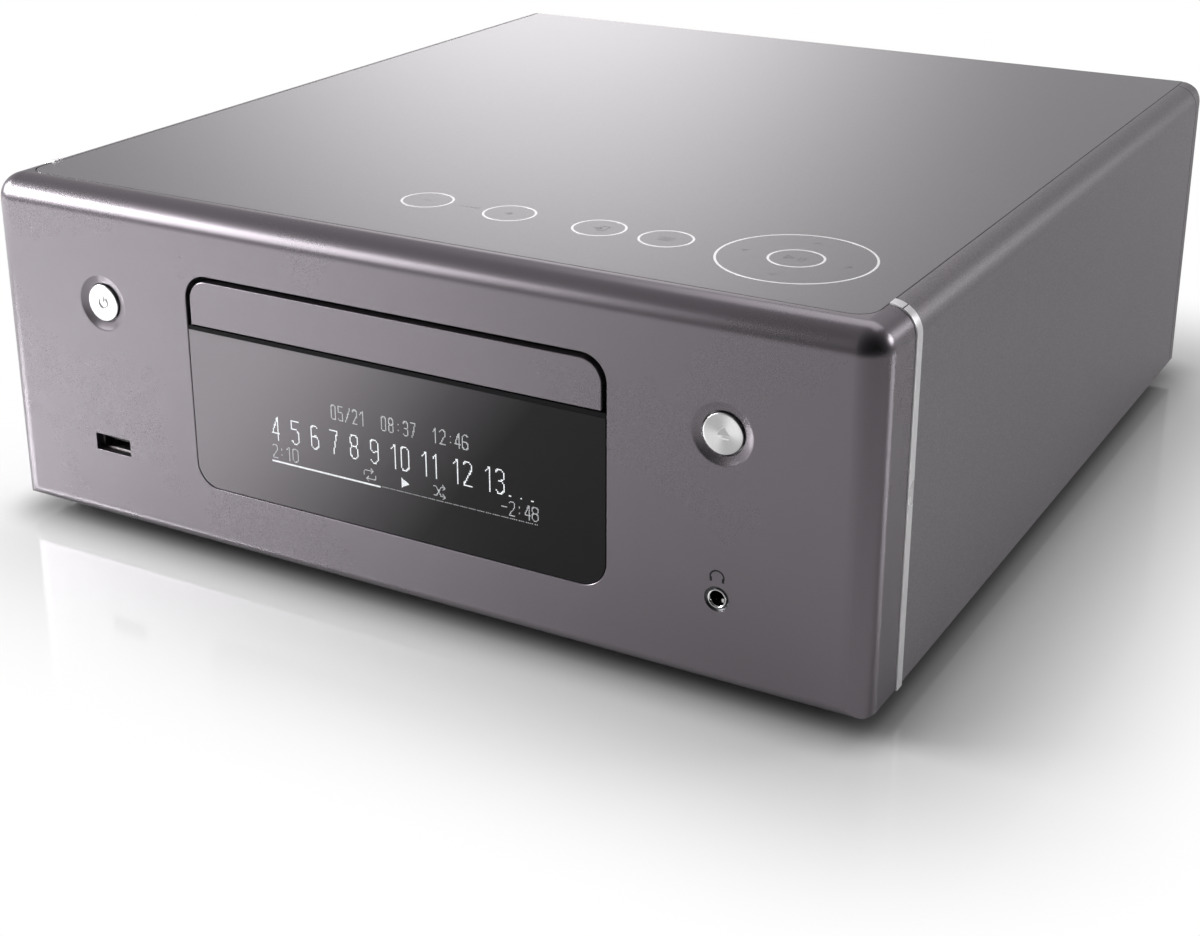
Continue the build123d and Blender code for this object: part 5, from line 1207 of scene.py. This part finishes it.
@dataclass
class Drawing:
    """Flat line work: lines of one width, printed on a face or shown as display dots."""

    lines: Lines
    width: float

    def flat(self, way: Way, face: float, print_face: float, name: str) -> Piece:
        """Turn the lines into thin printed strips.

        Args:
            way: the direction that the face looks along.
            face: where the face lies.
            print_face: where the print's surface lies.
            name: the piece's name.

        Returns:
            The new object.
        """
        blank = Blank()
        for line in self.lines:
            for (u0, v0), (u1, v1) in zip(line, line[1:]):
                length = math.hypot(u1 - u0, v1 - v0) or 1.0
                du, dv = (u1 - u0) / length * self.width / 2, (v1 - v0) / length * self.width / 2
                ends = ((u0, v0, -1, 1), (u1, v1, 1, 1), (u1, v1, 1, -1), (u0, v0, -1, -1))
                strip = [(u + on * du + side * dv, v + on * dv - side * du) for u, v, on, side in ends]
                blank.sweep(lambda offset, strip=strip: strip, ((0, face), (0, print_face)), way)
        return blank.done(name)

    def dots(self, y: float, name: str) -> Piece:
        """Show the lines as square display dots on a face that looks to the front.

        Args:
            y: where the dots lie.
            name: the piece's name.

        Returns:
            The new object.
        """
        pitch = self.width
        lit: set[tuple[int, int]] = set()
        for line in self.lines:
            for (x0, z0), (x1, z1) in zip(line, line[1:] or line):
                steps = max(math.ceil(max(abs(x1 - x0), abs(z1 - z0)) / pitch * 1.5), 1)
                for step in range(steps + 1):
                    x, z = x0 + (x1 - x0) * step / steps, z0 + (z1 - z0) * step / steps
                    lit.add((round(x / pitch), round(z / pitch)))
        blank = Blank()
        half = pitch * 0.43
        for column, row in sorted(lit):
            x, z = column * pitch, row * pitch
            corners = ((-half, -half), (half, -half), (half, half), (-half, half))
            blank.patch([(x + across, y, z + up) for across, up in corners])
        return blank.done(name)


def strokes(text: str) -> Lines:
    """Return lines from text: points as u,v with a space between them, and a semicolon between lines."""
    return [[tuple(map(float, point.split(","))) for point in line.split()] for line in text.split(";")]


def placed(lines: Lines, place: Flat, width: float = 1.0, height: float = 1.0) -> Lines:
    """Return lines of a drawing of 1 by 1, made wider and higher and moved to a place."""
    return [[(place[0] + u * width, place[1] + v * height) for u, v in line] for line in lines]


# The lines of each sign, on a square of 1 by 1.
GLYPHS = {
    "0": ".3,0 .7,0 1,.13 1,.87 .7,1 .3,1 0,.87 0,.13 .3,0",
    "1": ".15,.8 .6,1 .6,0",
    "2": "0,.87 .3,1 .7,1 1,.87 1,.64 0,0 1,0",
    "3": "0,.87 .3,1 .7,1 1,.87 1,.62 .7,.52 .4,.52; .7,.52 1,.42 1,.13 .7,0 .3,0 0,.13",
    "4": ".75,0 .75,1 0,.3 1,.3",
    "5": "1,1 .05,1 .05,.6 .7,.6 1,.47 1,.13 .7,0 .3,0 0,.13",
    "6": ".95,.9 .7,1 .3,1 0,.85 0,.13 .3,0 .7,0 1,.13 1,.42 .7,.55 0,.5",
    "7": "0,1 1,1 .35,0",
    "8": ".3,.53 0,.65 0,.87 .3,1 .7,1 1,.87 1,.65 .7,.53 .3,.53;"
    ".3,.53 0,.42 0,.13 .3,0 .7,0 1,.13 1,.42 .7,.53",
    "9": ".05,.1 .3,0 .7,0 1,.15 1,.87 .7,1 .3,1 0,.87 0,.58 .3,.45 1,.5",
    "-": ".05,.5 .95,.5",
    ":": ".5,.25 .5,.29; .5,.68 .5,.72",
    ".": ".4,0 .5,0",
    "/": "0,0 1,1",
    " ": "",
}


@dataclass(frozen=True)
class Row:
    """A row of digits and plain signs: the size of each, and the distance from one to the next."""

    height: float
    width: float
    pitch: float

    def lines(self, text: str, x: float, z: float) -> Lines:
        """Return the lines of a text whose lower left corner lies at a place."""
        signs = ((strokes(GLYPHS[sign]), (x + index * self.pitch, z)) for index, sign in enumerate(text))
        return [line for sign, spot in signs for line in placed(sign, spot, self.width, self.height)]


@dataclass
class FrontFittings:
    """The tray door, the window with its lit display, the buttons and the headphone socket."""

    front: float = CasingForm.front
    recess: float = 0.1
    door: Sides = (-65.8, 65.8, 74.0, 87.2, 0.3, 6.0)
    door_edge: float = 0.3
    door_thickness: float = 2.7
    window: Sides = (-67.1, 67.1, 24.9, 72.4, 7.3, 0.2)
    window_edge: float = 0.2
    window_thickness: float = 3.0
    button_radius: float = 5.45
    button_setback: float = 0.6
    button_hollow: float = 0.16
    button_edge: float = 0.3
    skirt_end: float = 2.7
    flange_radius: float = 7.0
    flange_end: float = 3.9
    stem_radius: float = 2.2
    sign_half: float = 1.5
    collar: tuple[Flat, ...] = (
        (1.9, 12.0), (1.9, 0.7), (2.0, 0.35), (2.12, 0.12), (2.3, 0.0),
        (2.5, 0.04), (2.64, 0.25), (2.64, 3.1), (5.0, 3.1), (5.0, 12.0),
    )
    seat: tuple[Flat, ...] = ((2.68, 0.5), (3.3, 0.12), (3.37, 0.2), (3.37, 2.4), (2.68, 2.4))
    spring: Sides = (99.6, 100.3, 29.1, 30.1, 0.2, 0.2)
    spring_depths: tuple[Flat, Flat] = ((0.0, 1.2), (0.0, 6.0))
    headphone_sign_z: float = 36.3
    mode_signs: tuple[str, ...] = (
        "-8.2,40.9 -8.2,41.7 -7.7,42.2 -5,42.2; -5.8,42.9 -5,42.2 -5.8,41.5",
        "-4.2,41.1 -4.2,40.3 -4.7,39.8 -7.4,39.8; -6.6,40.5 -7.4,39.8 -6.6,39.1",
        "14.6,39.8 15.4,39.8 17,42.4 18.2,42.4; 14.6,42.4 15.4,42.4 17,39.8 18.2,39.8",
        "17.5,43.1 18.3,42.4 17.5,41.7; 17.5,40.5 18.3,39.8 17.5,39.1",
    )

    def pane(self, sides: Sides, face: float, edge: float, thickness: float, name: str) -> Piece:
        """Build a plate that fills a part of the opening.

        Args:
            sides: its sides and the radii of its lower and upper corners.
            face: where its face lies.
            edge: the radius of the rounding round its face.
            thickness: its thickness, from the plane of the front.
            name: the piece's name.

        Returns:
            The piece.
        """
        profile = from_face(quarter(edge, 4), face)
        profile.append((0.0, self.front + thickness))
        return Blank().sweep(panel(*sides, 14), profile, Way.ALONG_Y).done(name)

    def make_panes(self) -> None:
        """Build the door on the front of the tray, and the smoked window under it."""
        door = self.pane(self.door, self.front, self.door_edge, self.door_thickness, "tray_door_face")
        Shop.place(door, "tray", FRONT_PAINT, "tray_door")
        size = self.front + self.recess, self.window_edge, self.window_thickness
        window = self.pane(self.window, *size, "display_window_smoked")
        Shop.place(window, "root", WINDOW, "display_window")

    def make_display(self) -> None:
        """Show a track calendar, the two times, the play line and the mode signs as lit dots."""
        small, base = Row(3.9, 1.6, 2.35), 39.4
        times = small.lines("2:10", -39.4, base) + small.lines("-2:48", 36.0, base)
        times += [[(-2.2 + 0.68 * step, 38.3)] for step in range(73)]
        played = strokes("-39.7,38.15 -2.9,38.15; -39.7,38.45 -2.9,38.45")
        arrow = ((6.6 - 2.4 * abs(step - 5) / 5, 39.6 + 0.27 * step) for step in range(11))
        played += [[(4.2, z), (end, z)] for end, z in arrow]
        tracks = Row(6.9, 2.35, 3.33).lines("4 5 6 7 8 9 10 11 12 13...", -39.0, 44.9)
        upper = Row(4.1, 1.55, 2.37).lines("05/21  08:37  12:46", -18.4, 55.0)
        rows = (
            ("display_track_row", LIT, 0.40, tracks),
            ("display_upper_row", LIT_DIM, 0.34, upper),
            ("display_times", LIT_DIM, 0.30, times),
            ("display_play_line", LIT, 0.27, played),
            ("display_signs", LIT_DIM, 0.24, strokes(";".join(self.mode_signs))),
        )
        face = self.front + self.recess - 0.02
        for name, finish, pitch, lines in rows:
            Shop.place(Drawing(lines, pitch).dots(face, name), "root", finish)

    def make_button(self, side: int, node: str) -> None:
        """Build one turned button cap with a slightly hollow face, a rounded rim and its stem.

        Args:
            side: -1 for the left button and 1 for the right one.
            node: the CAD node that it replaces, and the body of the same name that it moves with.
        """
        radius, hollow, edge = self.button_radius, self.button_hollow, self.button_edge
        turns = (step / 8 for step in range(1, 9))
        profile = [(0.02, hollow), *((radius * 0.9 * turn, hollow * (1 - turn**2)) for turn in turns)]
        angles = (0.0, 0.4, 0.8, 1.2, 1.57)
        profile += [(radius - edge + edge * math.sin(a), edge * (1 - math.cos(a))) for a in angles]
        profile += [(radius, self.skirt_end - 0.1), (radius, self.skirt_end)]
        profile += [(self.flange_radius, self.skirt_end), (self.flange_radius, self.flange_end)]
        profile.append((self.stem_radius, self.flange_end))
        profile = from_face(profile, self.front + self.button_setback)
        profile.append((self.stem_radius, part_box(node)[1].y / MM))
        cap = Blank().lathe((side * BUTTON_X, BUTTON_Z), profile, Way.ALONG_Y, 128)
        Shop.place(cap.done(f"{node}_turned"), node, BUTTON_FACE, node)

    def make_button_signs(self) -> None:
        """Print the on sign and the eject sign on the button faces."""
        print_face = self.front + self.button_setback - 0.01
        reach = self.sign_half
        turns = (math.radians(35 + 14.5 * step) for step in range(21))
        arc = [(reach * math.sin(turn), reach * math.cos(turn)) for turn in turns]
        power = [arc, [(0.0, 0.4), (0.0, 2.0)]]
        sides = ((reach - 0.15 * step, -0.3 + 0.2 * step) for step in range(10))
        eject = [*([(-half, rise), (half, rise)] for half, rise in sides), [(-reach, -1.2), (reach, -1.2)]]
        for name, side, lines, width in (("power", -1, power, 0.28), ("eject", 1, eject, 0.3)):
            drawing = Drawing(placed(lines, (side * BUTTON_X, BUTTON_Z)), width)
            sign = drawing.flat(Way.ALONG_Y, print_face + 0.2, print_face, f"{name}_sign")
            Shop.place(sign, f"{name}_button", SIGN_WHITE)

    def make_jack(self) -> None:
        """Build the headphone socket's bright collar, dark seat and spring contact, and print its sign."""
        face = self.front + self.recess
        rings = (
            ("headphone_collar", self.collar, SOCKET_CHROME, "headphone_jack"),
            ("headphone_seat", self.seat, SEAT_METAL, ""),
        )
        for name, section, finish, node in rings:
            part = Blank().tube((JACK_X, JACK_Z), from_face(section, face), Way.ALONG_Y, 96)
            Shop.place(part.done(name), "root", finish, node)
        spring = Blank().sweep(panel(*self.spring, 3), from_face(self.spring_depths, face), Way.ALONG_Y)
        Shop.place(spring.done("headphone_spring"), "root", SOCKET_CHROME)
        turns = (math.radians(-10 + 20 * step) for step in range(11))
        arc = [(1.9 * math.cos(turn), 1.8 * math.sin(turn)) for turn in turns]
        pads = [[(side * step, -0.3), (side * step, -1.1)] for side in (-1, 1) for step in (1.55, 1.8)]
        sign = Drawing(placed([arc, *pads], (JACK_X, self.headphone_sign_z)), 0.42)
        faces = self.front + 0.1, self.front - 0.0001
        Shop.place(sign.flat(Way.ALONG_Y, *faces, "headphone_sign"), "root", DARK_PRINT)

    def make(self) -> None:
        """Build and dress everything on the front."""
        self.make_panes()
        self.make_display()
        self.make_button(-1, "power_button")
        self.make_button(1, "eject_button")
        self.make_button_signs()
        self.make_jack()


@dataclass
class CarriedOver:
    """A group of CAD nodes that keep their shapes and are dressed in their finishes."""

    finishes: tuple[tuple[Finish, str], ...]

    def make(self) -> None:
        """Dress every node of the group."""
        for finish, nodes in self.finishes:
            for node in nodes.split():
                Shop.carry(node, finish)


@dataclass
class CasingParts(CarriedOver):
    """The plain parts of the casing, the surround behind the opening and the USB socket."""

    finishes: tuple[tuple[Finish, str], ...] = (
        (PAN_STEEL, "base_pan"),
        (REAR_PAINT, "rear_panel"),
        (STEEL, "panel_screws"),
        (SURROUND_BLACK, "tray_surround"),
        (SOCKET_STEEL, "usb_socket"),
        (BLACK_MOULDING, "usb_tongue"),
    )


@dataclass
class Mechanism(CarriedOver):
    """The disc loader, the traverse under it and the boards."""

    finishes: tuple[tuple[Finish, str], ...] = (
        (TRAY_BLACK, "disc_tray loader_chassis turntable pickup_sled"),
        (GEAR_WHITE, "tray_gear pulley_gear clamper sled_gear cam_slider"),
        (PAN_STEEL, "loader_brackets clamp_bridge"),
        (STEEL, "loading_motor traverse_plate spindle_motor guide_rods sled_motor"),
        (GOLD, "motor_pulley"),
        (BELT, "drive_belt"),
        (BOARD, "display_board button_switches socket_boards touch_board main_board power_board"),
        (HEATSINK, "heatsink"),
        (CORE_STEEL, "transformer"),
        (RIBBON, "front_ribbon"),
        (DISPLAY_DARK, "display_panel"),
    )


@dataclass
class RearConnectors(CarriedOver):
    """The sockets, terminals and inlet on the rear panel."""

    finishes: tuple[tuple[Finish, str], ...] = (
        (BLACK_MOULDING, "terminal_plate ac_inlet"),
        (GOLD, "terminal_posts line_jacks"),
        (SOCKET_STEEL, "network_socket"),
        (SOCKET_CHROME, "antenna_socket"),
        (RED_CAP, "terminal_cap_1 terminal_cap_2"),
        (BLACK_CAP, "terminal_cap_3 terminal_cap_4"),
    )


@dataclass
class Lamp:
    """A soft area lamp: where it stands, what it points at, its size and its strength."""

    name: str
    place: tuple[float, float, float]
    target: tuple[float, float, float]
    size: Flat
    power: float

    def make(self) -> None:
        """Hang the lamp in the studio."""
        data = bpy.data.lights.new(self.name, "AREA")
        data.shape = "RECTANGLE"
        data.size, data.size_y = self.size
        data.energy = self.power
        lamp = bpy.data.objects.new(self.name, data)
        lamp.location = self.place
        aim = Vector(self.target) - Vector(self.place)
        lamp.rotation_euler = aim.to_track_quat("-Z", "Y").to_euler()
        bpy.context.scene.collection.objects.link(lamp)


@dataclass
class Studio:
    """The pale table, the soft lamps, the surroundings and the camera."""

    table_reach: float = 6.0
    camera_place: tuple[float, float, float] = (0.28714, -0.54450, 0.25586)
    camera_turn: float = 29.483
    camera_dip: float = 20.199
    camera_roll: float = 0.037
    lens: float = 58.579
    sensor: float = 36.0
    shift: float = -0.0983
    lamps: tuple[Lamp, ...] = (
        Lamp("left_window", (-0.90, -0.95, 0.50), (-0.30, -0.35, 0.0), (0.6, 0.5), 4.6),
        Lamp("left_table", (-0.75, -0.42, 0.35), (-0.35, -0.38, 0.0), (0.4, 0.3), 9.5),
        Lamp("top_soft", (0.0, 0.9, 1.6), (0.0, 0.0, 0.0), (1.6, 1.2), 8.0),
        Lamp("right_back", (1.1, 0.9, 0.5), (0.14, 0.05, 0.05), (0.6, 0.4), 5.5),
    )
    table_whites: tuple[Colour, Colour] = ((0.78, 0.78, 0.78), (0.80, 0.80, 0.80))
    # A painted contact shadow: the table is this grey within the object's footprint, whose half sizes follow,
    # and turns white over the next contact metres.
    painted_shadow_grey: Colour = (0.24, 0.24, 0.24)
    painted_shadow_half: Flat = (0.132, 0.142)
    contact: float = 0.022
    near_floor: float = 0.0
    far_floor: float = 0.098
    glow_turn: float = 31.0
    glow_height: float = 8.0
    glow_edge: Flat = (0.02, 0.28)
    glow_power: float = 2.1
    sky_power: float = 0.50
    sky_colour: tuple[float, ...] = (1.0, 0.975, 1.0, 1.0)

    def make_table(self) -> None:
        """Build the glossy white table that the object stands on, with a shadow painted round the object's
        footprint.
        """
        blank = Blank()
        reach = self.table_reach / MM
        blank.patch(((-reach, -reach, 0.0), (reach, -reach, 0.0), (reach, reach, 0.0), (-reach, reach, 0.0)))
        table = blank.done("table")
        recipe = Recipe(bpy.data.materials.new("table_white_gloss"))
        cloud = recipe.noise(0.4, 2.0)
        white = recipe.mix(cloud, *self.table_whites)
        # Painted shadow: the base colour is grey within the footprint and turns white just outside it.
        beside = (recipe.axis("x").size() - self.painted_shadow_half[0]).at_least(0.0)
        ahead = (recipe.axis("y").size() - self.painted_shadow_half[1]).at_least(0.0)
        away = (beside * beside + ahead * ahead) ** 0.5
        colour = recipe.mix(away.span(0.0, self.contact), self.painted_shadow_grey, white)
        gloss = {"Base Color": colour, "Roughness": cloud * 0.02 + 0.09, "Specular IOR Level": 0.8}
        surface = recipe.node("ShaderNodeBsdfPrincipled", {}, gloss)
        seen = recipe.node("ShaderNodeLightPath", output="Is Camera Ray")
        share = away.span(self.near_floor, self.far_floor) * seen
        paper = recipe.node("ShaderNodeEmission", {}, {"Color": (1.0, 1.0, 1.0, 1.0), "Strength": 1.0})
        both = recipe.node("ShaderNodeMixShader", {}, {0: share, 1: surface, 2: paper})
        recipe.raw("ShaderNodeOutputMaterial", {}, {"Surface": both})
        table.data.materials.append(recipe.owner)
        table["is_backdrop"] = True

    def make_surroundings(self) -> None:
        """Light the studio: a soft glow low at the back left, brighter behind than in front."""
        world = bpy.data.worlds.new("studio")
        bpy.context.scene.world = world
        recipe = Recipe(world)
        way = recipe.node("ShaderNodeTexCoord", output="Generated")
        east, north, up = (recipe.node("ShaderNodeSeparateXYZ", {}, {0: way}, axis) for axis in "XYZ")
        turn, height = math.radians(self.glow_turn), math.radians(self.glow_height)
        centre = (-math.sin(turn) * math.cos(height), math.cos(turn) * math.cos(height), math.sin(height))
        apart = (east * centre[0] + north * centre[1] + up * centre[2]).arc_cosine()
        glow = 1.0 - apart.span(*self.glow_edge)
        level = glow * self.glow_power + (north * 0.7 - east * 0.7).span(-0.9, 0.9) * self.sky_power
        seen = recipe.node("ShaderNodeLightPath", output="Is Camera Ray")
        level = level * (1.0 - seen) + seen
        background = recipe.node("ShaderNodeBackground", {}, {"Color": self.sky_colour, "Strength": level})
        recipe.raw("ShaderNodeOutputWorld", {}, {"Surface": background})

    def make_camera(self) -> None:
        """Set up the camera."""
        data = bpy.data.cameras.new("camera")
        data.lens = self.lens
        data.sensor_width = self.sensor
        data.sensor_fit = "HORIZONTAL"
        data.shift_y = self.shift
        camera = bpy.data.objects.new("camera", data)
        turn = Matrix.Rotation(math.radians(self.camera_turn), 4, "Z")
        dip = Matrix.Rotation(math.radians(90 - self.camera_dip), 4, "X")
        roll = Matrix.Rotation(math.radians(self.camera_roll), 4, "Z")
        camera.matrix_world = Matrix.Translation(self.camera_place) @ turn @ dip @ roll
        bpy.context.scene.collection.objects.link(camera)
        bpy.context.scene.camera = camera

    def make(self) -> None:
        """Build the studio."""
        self.make_table()
        self.make_surroundings()
        for lamp in self.lamps:
            lamp.make()
        self.make_camera()
        bpy.context.scene.view_settings.view_transform = "Standard"


def corners(box: tuple[Vector, Vector]) -> list[list[float]]:
    """Return a box's two corners as plain lists of numbers."""
    return [[float(value) for value in corner] for corner in box]


def main() -> None:
    """Build the whole scene and report each piece."""
    logging.basicConfig(level=logging.INFO, format="%(message)s")
    solid = corners(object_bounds())
    inside = CasingParts(), Mechanism(), RearConnectors()
    for assembly in (Casing(), TopPlate(), FrontFittings(), *inside, Studio()):
        log.info("building the %s", type(assembly).__name__)
        assembly.make()
    {"cad": solid, "visual": corners(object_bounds())}


if __name__ == "__main__":
    main()
